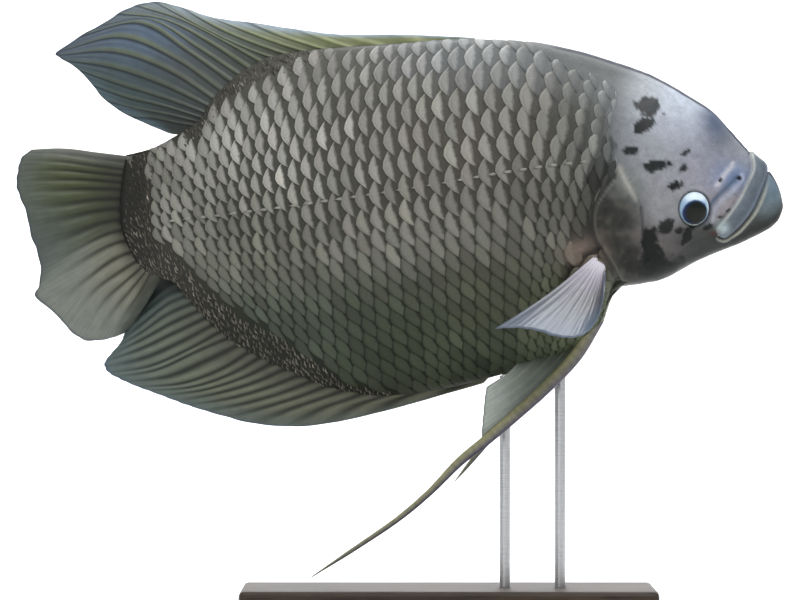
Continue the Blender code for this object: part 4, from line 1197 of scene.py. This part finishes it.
def fin_place(rays, u, v):
    """Side-view place of ray share u at length share v: along the ray that lies between its neighbours."""
    points = [along([ray[k] for ray in rays], u) for k in range(len(rays[0]))]
    points = [2 * points[0] - points[1]] + points + [2 * points[-1] - points[-2]]
    net = np.stack(points)
    place = v * (len(points) - 3)
    k = np.clip(place.astype(int), 0, len(points) - 4)
    t = (place - k)[:, None]
    index = np.arange(len(u))
    a, b, c, d = net[k, index], net[k + 1, index], net[k + 2, index], net[k + 3, index]
    return (b * 2 + (c - a) * t + (a * 2 - b * 5 + c * 4 - d) * t * t + (b * 3 - a - c * 3 + d) * t ** 3) / 2


def ray_height(phase, v, split_at, width):
    """Height 0 to 1 of the rays at a place between them; each ray forks towards the edge."""
    off = phase - np.rint(phase)
    spread = 0.24 * ramp((v - split_at) / (1.0 - split_at))
    narrow = width * (1 - 0.35 * v)
    return np.maximum(ridge(off - spread, narrow), ridge(off + spread, narrow))


def fin_sheet(name, rays, count, rows, per_ray, sway, ray_rise, split_at, width, gaps=None):
    """A fin with its rays raised on both faces; returns it, its shares u and v, and the rays' height."""
    columns = (count - 1) * per_ray
    select_none()
    bpy.ops.mesh.primitive_grid_add(x_subdivisions=columns, y_subdivisions=rows, size=2.0, calc_uvs=True)
    fin = bpy.context.object
    fin.name = name
    fin.data.uv_layers[0].name = "FinUV"
    flat = read_points(fin.data)
    u, share = (flat[:, 0] + 1) / 2, (flat[:, 1] + 1) / 2
    phase = u * (count - 1) if gaps is None else np.interp(u, gaps, np.arange(len(gaps)) - 0.5)
    v = share * (1 - EDGE_NOTCH * (0.5 - 0.5 * np.cos(2 * np.pi * phase)))
    place = fin_place(rays, u, v)
    write_points(fin.data, to_world(np.stack([place[:, 0], sway(u, v) / MM, place[:, 1]], axis=1)))
    height = ray_height(phase, v, split_at, width)
    web = WEB_ROOT + (WEB_EDGE - WEB_ROOT) * v
    thick = web + ray_rise * height * (1 - 0.85 * v) ** 0.8
    group = fin.vertex_groups.new(name="thickness")
    for index, value in enumerate(np.clip(thick / FIN_FULL, 0, 1)):
        group.add([index], float(value), "REPLACE")
    return fin, u, v, height


def select_only(piece):
    select_none()
    piece.select_set(True)
    bpy.context.view_layer.objects.active = piece


def close_fin(fin, tones, finish):
    """Paint the sheet with its tones, give it thickness and outward faces, and dress it."""
    add_tone(fin.data, "tone", tones)
    select_only(fin)
    wall = fin.modifiers.new("thickness", "SOLIDIFY")
    wall.thickness, wall.offset, wall.vertex_group = FIN_FULL, 0.0, "thickness"
    bpy.ops.object.modifier_apply(modifier=wall.name)
    face_outwards()
    fin.vertex_groups.clear()
    dress(fin, finish)
    print(fin.name, "faces", len(fin.data.polygons))


def fin_tones(patches, u, v, share):
    """Web and ray tones melted from patches on the fin, mixed by the share of the ray."""
    web, ray = melt(patches, u, v)
    share = np.clip(share, 0, 1).reshape(-1, 1)
    return web * (1 - share) + ray * share


def furrow(u, count, place, width):
    """Height 0 to 1 of a dark furrow at one place between each ray and the next."""
    off = u * (count - 1) - place
    return ridge(off - np.rint(off), width)


print("fin tools ready")

# %% [markdown]
# The web takes a finish of its own: fine lines along the rays, a soft gloss and a little grain. The lines
# read the fin's flat map, where one direction is across the rays and the other along them, so they bend
# with every ray.

# %% Finish of the fins
def fin_finish(name, roughness, lines_across, gloss=0.28):
    made = Finish(name, roughness, Specular_IOR_Level=gloss)
    threads = made.grain(made.stretched(made.flat_map("FinUV"), (lines_across, 3.0, 1.0)), 1.0, 4.0, 0.6)
    cloud = made.grain(made.place(), 140.0, 3.0)
    streaks, clouds = made.between(threads, 0.25, 0.75, 0.80, 1.16), made.between(cloud, 0.3, 0.7, 0.92, 1.08)
    made.to("Base Color", made.shaded(made.tone("tone"), made.maths("MULTIPLY", streaks, clouds)))
    made.to("Roughness", made.between(threads, 0.2, 0.8, roughness - 0.08, roughness + 0.1))
    made.bump(threads, 0.22, 0.0006)
    return made


web_finish = fin_finish("fin_web_finish", 0.45, 150.0)
print("fin finish ready")

# %% [markdown]
# The dorsal fin starts as a low row of spines on the back and opens into a long pointed lobe of soft rays.
# The rays are olive, the web between them blue-grey, the spines' strip is yellowish with a pale upper edge.

# %% Dorsal fin
DORSAL_RAYS = [((58, 121), (56.7, 122.9), (55.3, 124.6), (54, 126.2)),
               ((24, 119.4), (17, 122.6), (10, 125.7), (3, 128.4)),
               ((-3.5, 118.3), (-17, 121.5), (-29.5, 125), (-42, 128.5)),
               ((-28, 117), (-42, 121), (-56, 126), (-70, 131.6)),
               ((-45.5, 115.5), (-64.5, 120.8), (-84, 127.4), (-105, 136.9)),
               ((-61.5, 114), (-85.5, 121.5), (-110, 130.6), (-136, 141)),
               ((-75.5, 112), (-101.5, 121), (-129, 132.3), (-155.5, 147.4)),
               ((-87, 110), (-114, 119.7), (-143.5, 133.7), (-175, 152.3)),
               ((-96.5, 106.5), (-124.5, 122.2), (-157, 138.6), (-189.5, 150.5)),
               ((-107, 103), (-136.5, 122.5), (-168, 138.6), (-202.5, 145)),
               ((-115, 98.7), (-147, 120), (-180, 139), (-216, 136)),
               ((-120.5, 93.8), (-152, 116.2), (-187.5, 137.6), (-229.5, 128.7)),
               ((-126, 86), (-161, 111), (-201.5, 127.8), (-248, 116.2)),
               ((-131, 79.8), (-168, 104), (-207, 117.3), (-249.5, 113.6)),
               ((-135, 75), (-173.5, 94.2), (-210, 106.4), (-245, 110.4)),
               ((-138, 70.7), (-171.5, 83.3), (-206, 94.5), (-235, 104.3)),
               ((-140.5, 67.2), (-171.5, 77), (-201, 84.7), (-224.5, 93.8)),
               ((-143, 64.4), (-168, 70.7), (-192.5, 75.6), (-215.5, 82.6)),
               ((-144, 61.6), (-162.5, 65), (-180.5, 69.3), (-199.5, 71)),
               ((-145, 58.5), (-154, 56.7), (-164, 56.4), (-175, 60.2))]
DORSAL_COUNT = len(DORSAL_RAYS)
LINE_DEPTH, LINE_FULL = 0.8, 0.992
# name, place (share across the rays, share along them), reach, web tone, ray tone
DORSAL_PATCHES = [
    ("front_strip", (0.12, 0.45), (0.16, 0.35), (104, 110, 74), (138, 144, 106)),
    ("front_edge", (0.15, 1.0), (0.20, 0.16), (144, 162, 178), (156, 170, 184)),
    ("middle_root", (0.38, 0.15), (0.14, 0.25), (56, 60, 50), (84, 90, 66)),
    ("middle", (0.40, 0.6), (0.12, 0.35), (84, 92, 94), (96, 104, 72)),
    ("blue_web", (0.58, 0.62), (0.12, 0.25), (86, 102, 122), (98, 106, 86)),
    ("lobe_root", (0.60, 0.2), (0.14, 0.2), (66, 70, 68), (84, 88, 78)),
    ("tip", (0.64, 1.0), (0.10, 0.2), (80, 90, 104), (84, 90, 98)),
    ("rear_web", (0.80, 0.6), (0.08, 0.4), (58, 72, 72), (68, 78, 68)),
    ("rear_edge", (0.85, 0.97), (0.10, 0.14), (74, 94, 104), (78, 94, 98)),
    ("rear_root", (0.86, 0.15), (0.10, 0.3), (36, 39, 36), (44, 48, 42)),
]


def dorsal_sway(u, v):
    return 0.006 * v * v * np.sin(2.2 * np.pi * u)


def edge_line(tones, v, tone, start=0.965):
    """Tones with a line of another tone laid along the fin's edge."""
    share = LINE_DEPTH * ramp((v - start) / (LINE_FULL - start))[:, None]
    return tones * (1 - share) + paint_tone(*tone) * share


dorsal, u, v, _ = fin_sheet("fin_dorsal_web", DORSAL_RAYS, DORSAL_COUNT, 48, 12, dorsal_sway, 0.0019, 0.72,
                            0.20)
side_bands = 0.5 * ramp((v - 0.55) / 0.3) * furrow(u, DORSAL_COUNT, 0.5, 0.09)
bands = np.maximum(furrow(u, DORSAL_COUNT, 0.0, 0.17), side_bands)
tones = fin_tones(DORSAL_PATCHES, u, v, bands)
lines = 0.85 * furrow(u, DORSAL_COUNT, 0.20, 0.075) * ramp((u - 0.1) / 0.15)
fine_lines = 0.45 * ramp((v - 0.5) / 0.3) * furrow(u, DORSAL_COUNT, 0.62, 0.05) * ramp((u - 0.35) / 0.1)
tones *= 1 - np.maximum(lines, fine_lines)[:, None]
close_fin(dorsal, edge_line(tones, v, (58, 66, 80)), web_finish)
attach(dorsal, "root")
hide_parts("fin_dorsal")

# %% [markdown]
# The anal fin runs along the rear half of the belly. Its rays are closer and more even, grey-olive ridges
# with dark gaps, turning blue-green towards the edge and the rear point.

# %% Anal fin
ANAL_RAYS = [((66, -118), (64, -120), (62, -122.2), (60, -124.3)),
             ((25, -126), (12.5, -131), (-1.5, -136.2), (-17, -146)),
             ((-5.5, -127.4), (-24, -135), (-43.5, -142), (-66, -155.3)),
             ((-31, -126), (-52.5, -134.4), (-77, -142.8), (-103.5, -154)),
             ((-50.5, -121.8), (-74, -131.7), (-101, -140), (-131, -147.4)),
             ((-68, -117.6), (-92.5, -127.4), (-120.5, -135.5), (-152, -141)),
             ((-83.5, -111.3), (-108, -122.5), (-135, -130.6), (-165, -136.3)),
             ((-96.5, -104.3), (-119.5, -117.6), (-148.5, -127.4), (-180, -130.6)),
             ((-108.5, -98.7), (-132.5, -113.4), (-161, -123.6), (-192, -126.2)),
             ((-119.5, -91.7), (-145.5, -102.5), (-173.5, -115.2), (-203, -121.2)),
             ((-129, -84.7), (-153.5, -98.7), (-181.5, -111), (-211.5, -116.3)),
             ((-137, -77.7), (-161, -89.6), (-187, -101.5), (-214.3, -110)),
             ((-144, -70), (-166, -80.2), (-188.5, -92.8), (-209.5, -103)),
             ((-150.5, -62.3), (-168.5, -70), (-186, -83.3), (-202.5, -94.9)),
             ((-157, -54.6), (-169.5, -60.5), (-184, -72), (-198.5, -86)),
             ((-171, -44.5), (-175.5, -50.5), (-181.5, -59), (-188.5, -71))]
ANAL_COUNT = 23
ANAL_PATCHES = [
    ("front", (0.10, 0.5), (0.14, 0.5), (52, 52, 42), (98, 98, 82)),
    ("root", (0.45, 0.15), (0.40, 0.16), (40, 40, 34), (72, 72, 62)),
    ("middle", (0.40, 0.5), (0.25, 0.3), (40, 44, 34), (98, 102, 86)),
    ("rear_middle", (0.70, 0.5), (0.16, 0.3), (44, 50, 44), (96, 102, 90)),
    ("edge", (0.35, 0.95), (0.30, 0.14), (64, 78, 74), (84, 96, 92)),
    ("rear_edge", (0.72, 0.92), (0.14, 0.2), (64, 80, 82), (80, 94, 94)),
    ("last", (0.94, 0.5), (0.08, 0.6), (50, 64, 64), (64, 76, 74)),
]


def anal_sway(u, v):
    return 0.005 * v * v * np.sin(2.0 * np.pi * u + 0.8) + 0.004 * ramp((u - 0.86) / 0.12)


anal, u, v, _ = fin_sheet("fin_anal_web", ANAL_RAYS, ANAL_COUNT, 40, 12, anal_sway, 0.0018, 0.85, 0.27)
shadow = furrow(u, ANAL_COUNT, 0.5, 0.24) * ramp((1.12 - v) / 0.45)
tones = fin_tones(ANAL_PATCHES, u, v, 1 - shadow)
tones *= 1 - 0.3 * shadow[:, None]
# Painted shadow: the rearmost rays turn almost black, standing for the fin's shaded rear.
rear_shadow = (0.9 * ramp((u - 0.915) / 0.05))[:, None]
tones = tones * (1 - rear_shadow) + paint_tone(15, 22, 18) * rear_shadow
close_fin(anal, edge_line(tones, v, (64, 84, 112)), web_finish)
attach(anal, "root")
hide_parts("fin_anal")

# %% [markdown]
# The tail fin has two halves: the upper one dark olive with fine lines, the lower one pale, with broad silver
# rays that fork before the edge and narrow dark gaps between them. A thin dark line closes the whole edge.

# %% Tail fin
CAUDAL_RAYS = [((-194, 40), (-218.5, 43), (-243.5, 46), (-266.5, 44.8)),
               ((-196, 32.2), (-220.5, 35.7), (-248, 39.2), (-274, 39)),
               ((-196.7, 26), (-221, 28.7), (-248.5, 31.2), (-276.8, 29.5)),
               ((-197.4, 19.6), (-222, 21.4), (-248.5, 21.7), (-277.8, 19)),
               ((-197.5, 14), (-221, 14), (-247, 12.6), (-275, 10)),
               ((-197.5, 7.7), (-220, 6.3), (-244.5, 1.8), (-270.5, -1.5)),
               ((-197.5, 1.4), (-218.5, -1.4), (-242, -7.7), (-267.7, -16)),
               ((-196.7, -5), (-216.5, -9), (-239.5, -18.2), (-263.5, -27.3)),
               ((-196, -11.2), (-214, -16), (-236, -27.3), (-260.5, -40)),
               ((-194.5, -17.5), (-211.5, -22.4), (-232.5, -33.6), (-261.5, -53)),
               ((-192, -24), (-209.5, -30), (-229.5, -43.4), (-264, -61.8)),
               ((-189.5, -30), (-207, -38.5), (-227.5, -54), (-248, -76)),
               ((-188, -36), (-203, -47), (-220, -60.2), (-239.5, -86)),
               ((-185.5, -41.5), (-198, -54), (-212, -68.6), (-228, -93.3)),
               ((-182, -45), (-191, -60.5), (-201, -75), (-211.5, -92)),
               ((-171.5, -44.5), (-178.2, -57.5), (-186.6, -71), (-198, -87))]
# shares where the dark line between two rays runs
CAUDAL_GAPS = [-0.02, 0.035, 0.088, 0.139, 0.186, 0.242, 0.312, 0.38, 0.461, 0.54, 0.62, 0.706, 0.78, 0.843,
               0.895, 0.94, 1.0]
CAUDAL_PATCHES = [
    ("top_edge", (0.0, 0.55), (0.05, 0.5), (112, 114, 110), (120, 122, 118)),
    ("upper_root", (0.24, 0.08), (0.25, 0.2), (32, 30, 28), (42, 41, 37)),
    ("upper", (0.18, 0.5), (0.14, 0.35), (38, 42, 26), (66, 73, 46)),
    ("upper_edge", (0.18, 1.0), (0.20, 0.14), (72, 80, 76), (82, 88, 82)),
    ("middle", (0.42, 0.45), (0.10, 0.35), (38, 43, 30), (58, 64, 46)),
    ("middle_edge", (0.45, 0.97), (0.10, 0.2), (58, 70, 70), (70, 80, 78)),
    ("lower_root", (0.75, 0.08), (0.18, 0.10), (46, 44, 36), (80, 78, 68)),
    ("lower", (0.76, 0.38), (0.14, 0.25), (54, 53, 40), (108, 108, 94)),
    ("lower_edge", (0.76, 0.92), (0.18, 0.28), (96, 102, 96), (116, 121, 114)),
    # lowest: painted shadow on the lowest rays, where they lie in shade next to the anal fin
    ("lowest", (0.985, 0.4), (0.03, 0.6), (30, 36, 30), (34, 40, 34)),
]


def caudal_sway(u, v):
    return 0.009 * v * np.sin(1.4 * np.pi * v + 2.4 * u)


caudal, u, v, _ = fin_sheet("fin_caudal_web", CAUDAL_RAYS, len(CAUDAL_GAPS), 48, 14, caudal_sway, 0.0020,
                            0.60, 0.30, CAUDAL_GAPS)
phase = np.interp(u, CAUDAL_GAPS, np.arange(len(CAUDAL_GAPS)))
shadow = ridge(phase - np.rint(phase), 0.17 + 0.06 * (u < 0.5)) * ramp((0.98 - v) / 0.55)
tones = fin_tones(CAUDAL_PATCHES, u, v, 1 - shadow)
tones *= 1 - 0.3 * shadow[:, None] * (u < 0.92)[:, None]
close_fin(caudal, edge_line(tones, v, (48, 56, 82), 0.975), web_finish)
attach(caudal, "root")
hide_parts("fin_caudal")

# %% [markdown]
# The pectoral fins are the soft paddles behind the gill covers, half folded and hanging. The root is white
# and shiny, the web lilac-grey and almost smooth, its lower edge pale blue.

# %% Pectoral fins
PECTORAL_RAYS = [((143, -30), (107, -59.5), (68, -84.5)), ((143.6, -31.5), (115.4, -59.5), (84, -84)),
                 ((144.2, -33), (122.7, -61), (98, -86)), ((144.8, -34.5), (129.6, -63.2), (111, -90)),
                 ((145.4, -36), (135.8, -64.2), (123, -91)), ((146, -37.5), (141, -63), (133, -87.5)),
                 ((146.4, -39), (145, -58.4), (141, -77.5)), ((146.8, -40.5), (146.6, -52.5), (145, -64.5)),
                 ((147, -42), (146.8, -47.5), (146, -53))]
PECTORAL_PATCHES = [
    ("root", (0.5, 0.05), (0.6, 0.16), (196, 192, 202), (222, 222, 230)),
    ("root_lilac", (0.5, 0.26), (0.5, 0.12), (132, 124, 142), (150, 145, 158)),
    ("web_high", (0.1, 0.55), (0.2, 0.25), (98, 100, 108), (106, 108, 114)),
    ("web", (0.55, 0.5), (0.3, 0.22), (102, 102, 106), (114, 114, 114)),
    ("edge", (0.5, 0.92), (0.5, 0.22), (90, 102, 118), (98, 110, 126)),
    ("tip", (0.0, 1.0), (0.12, 0.25), (84, 94, 106), (88, 98, 110)),
    ("front_edge", (1.0, 0.5), (0.10, 0.6), (86, 94, 116), (96, 102, 122)),
]
shine_finish = fin_finish("pectoral_finish", 0.34, 60.0, 0.5)
ROOT_WIDTH = float(half_width_at(143.0, -30.0)) * MM
for side, word in SIDES:
    def pectoral_sway(u, v, side=side):
        reach = 0.040 * v * (1 - 0.35 * u)
        return side * (ROOT_WIDTH - 0.004 + reach + 0.004 * np.sin(np.pi * u) * v)

    name = "fin_pectoral_web_" + word
    pectoral, u, v, height = fin_sheet(name, PECTORAL_RAYS, 13, 32, 8, pectoral_sway, 0.0010, 0.5, 0.22)
    close_fin(pectoral, fin_tones(PECTORAL_PATCHES, u, v, 0.6 * height), shine_finish)
    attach(pectoral, "root")
    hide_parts("fin_pectoral_" + word)

# %% [markdown]
# Each pelvic fin is a small pale web behind one very long feeler, the fish's organ of touch. The feeler is a
# tube that thins from root to tip, drawn as a curve with a round bevel and made a mesh, and the web is a fin
# sheet as before. Both sides hang close together, the left feeler shorter in this pose.

# %% Pelvic fins and their feelers
PELVIC_RAYS = [((139, -84), (103, -129.5), (59, -167)), ((131, -91), (98.5, -127.6), (59.5, -157)),
               ((121, -96), (93.3, -124.5), (60.5, -147)), ((108, -99), (86.7, -120.3), (61.5, -137)),
               ((91, -103), (78.2, -116.7), (63, -127.5))]
FEELER_PATHS = {"right": [(143, -78), (127, -104.5), (104.6, -128), (84.6, -146), (63.6, -164), (42.6, -181),
                          (21.5, -202.5), (-1.5, -222), (-31.5, -242.6), (-64, -264)],
                "left": [(143, -78), (126, -104), (104, -127.5), (84, -145.5), (62.5, -169), (40, -196)]}
FEELER_RADII = [(0, 4.8), (0.2, 4.5), (0.33, 4.2), (0.45, 3.8), (0.56, 3.3), (0.67, 2.5), (0.78, 2.1),
                (0.9, 1.6), (1, 0.35)]
FEELER_STEPS = 96
PELVIC_PATCHES = [
    ("root", (0.5, 0.05), (0.6, 0.25), (56, 60, 48), (76, 79, 67)),
    ("middle", (0.5, 0.5), (0.5, 0.3), (96, 104, 95), (110, 114, 104)),
    ("edge", (0.6, 1.0), (0.5, 0.3), (160, 167, 162), (168, 174, 168)),
    ("by_feeler", (0.0, 0.6), (0.14, 0.6), (64, 67, 55), (80, 82, 67)),
]


def pelvic_spread(share):
    return 0.0125 + 0.014 * np.sin(share * np.pi * 0.75)


def feeler_tube(name, path, side):
    """The feeler as a bevelled curve made a closed mesh; returns the piece and each vertex's share."""
    curve = bpy.data.curves.new(name, "CURVE")
    curve.dimensions, curve.bevel_depth, curve.bevel_resolution, curve.use_fill_caps = "3D", MM, 5, True
    spline = curve.splines.new("POLY")
    spline.points.add(FEELER_STEPS)
    share = np.linspace(0, 1, FEELER_STEPS + 1)
    places = along(path, share)
    across = side * pelvic_spread(share)
    for point, (x, z), y, radius in zip(spline.points, places, across, through(FEELER_RADII, share)):
        point.co = (x * MM, y, z * MM + AXIS_HEIGHT, 1.0)
        point.radius = radius
    select_only(link_new(name, curve))
    bpy.ops.object.convert(target="MESH")
    tube = bpy.context.object
    face_outwards(doubles=0.000002)
    points = (read_points(tube.data) - np.array([0, 0, AXIS_HEIGHT])) / MM
    nearest = np.linalg.norm(points[:, None, ::2] - places[None, :, :], axis=2).argmin(axis=1)
    above = points[:, 2] - places[nearest, 1]
    return tube, share[nearest], above / np.maximum(through(FEELER_RADII, share[nearest]), 0.3)


for side, word in SIDES:
    def pelvic_sway(u, v, side=side):
        return side * (pelvic_spread(0.4 * v) - 0.004 * u * (1 - v))

    name = "fin_pelvic_web_" + word
    pelvic, u, v, height = fin_sheet(name, PELVIC_RAYS, 6, 32, 12, pelvic_sway, 0.0010, 0.55, 0.16)
    close_fin(pelvic, fin_tones(PELVIC_PATCHES, u, v, height), web_finish)
    feeler, share, above = feeler_tube("feeler_" + word, FEELER_PATHS[word], side)
    # Painted light and shade: the feeler is paler on its upper half and darker, blue-violet, underneath.
    top, low = paint_tone(150, 148, 112), paint_tone(84, 80, 98)
    tip = paint_tone(112, 112, 104)
    mix = ramp((above + 0.7) / 1.4)[:, None]
    tones = low * (1 - mix) + top * mix
    far = 0.5 * ramp((share - 0.6) / 0.4)[:, None]
    tones = tones * (1 - far) + tip * far
    tones *= (0.9 + 0.1 * np.sin(share * 260.0))[:, None]
    add_tone(feeler.data, "tone", tones)
    dress(feeler, skin_finish("feeler_finish_" + word, 0.42, 0.2))
    for piece in (pelvic, feeler):
        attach(piece, "root")
    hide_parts("fin_pelvic_" + word)
    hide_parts("fin_pelvic_" + word)
    print(feeler.name, "faces", len(feeler.data.polygons))

# %% [markdown]
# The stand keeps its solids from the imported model, because a plain board and two rods are right as they are.
# The board is dark stained wood: long grain from stretched noise, pores in the gloss and the bump. The rods
# are brushed steel, with fine lines round them.

# %% Finishes of the stand
def wood_finish():
    made = Finish("stand_wood_finish", 0.5, Specular_IOR_Level=0.25, Coat_Weight=0.05, Coat_Roughness=0.3)
    place = made.place()
    warp = made.grain(place, 9.0, 2.0)
    grain = made.grain(made.stretched(place, (5.0, 90.0, 60.0)), 1.6, 6.0, 0.62)
    pores = made.between(made.grain(made.stretched(place, (40.0, 900.0, 700.0)), 1.0, 2.0, 0.5), 0.56, 0.66)
    tone = made.maths("ADD", made.maths("MULTIPLY", grain, 0.8), made.maths("MULTIPLY", warp, 0.25))
    colour = made.mix(made.between(tone, 0.35, 0.68), (0.012, 0.009, 0.007), (0.060, 0.040, 0.026))
    colour = made.mix(made.maths("MULTIPLY", pores, 0.6), colour, (0.006, 0.005, 0.004))
    made.to("Base Color", colour)
    made.to("Roughness", made.between(grain, 0.3, 0.7, 0.44, 0.58))
    made.bump(made.maths("SUBTRACT", grain, pores), 0.12, 0.0004)
    return made


def steel_finish():
    made = Finish("stand_steel_finish", 0.3, Metallic=1.0)
    place = made.place()
    lines = made.grain(made.stretched(place, (30.0, 30.0, 4000.0)), 1.0, 2.0, 0.6)
    colour = made.mix(made.between(lines, 0.2, 0.8), (0.50, 0.51, 0.52), (0.66, 0.66, 0.67))
    made.to("Base Color", colour)
    made.to("Roughness", made.between(lines, 0.25, 0.75, 0.24, 0.38))
    made.bump(lines, 0.08, 0.0001)
    return made


wood, steel = wood_finish(), steel_finish()
for name, finish in (("stand_base", wood), ("stand_rod_front", steel), ("stand_rod_rear", steel)):
    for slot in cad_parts[name].material_slots:
        slot.material = finish.material
print("stand dressed")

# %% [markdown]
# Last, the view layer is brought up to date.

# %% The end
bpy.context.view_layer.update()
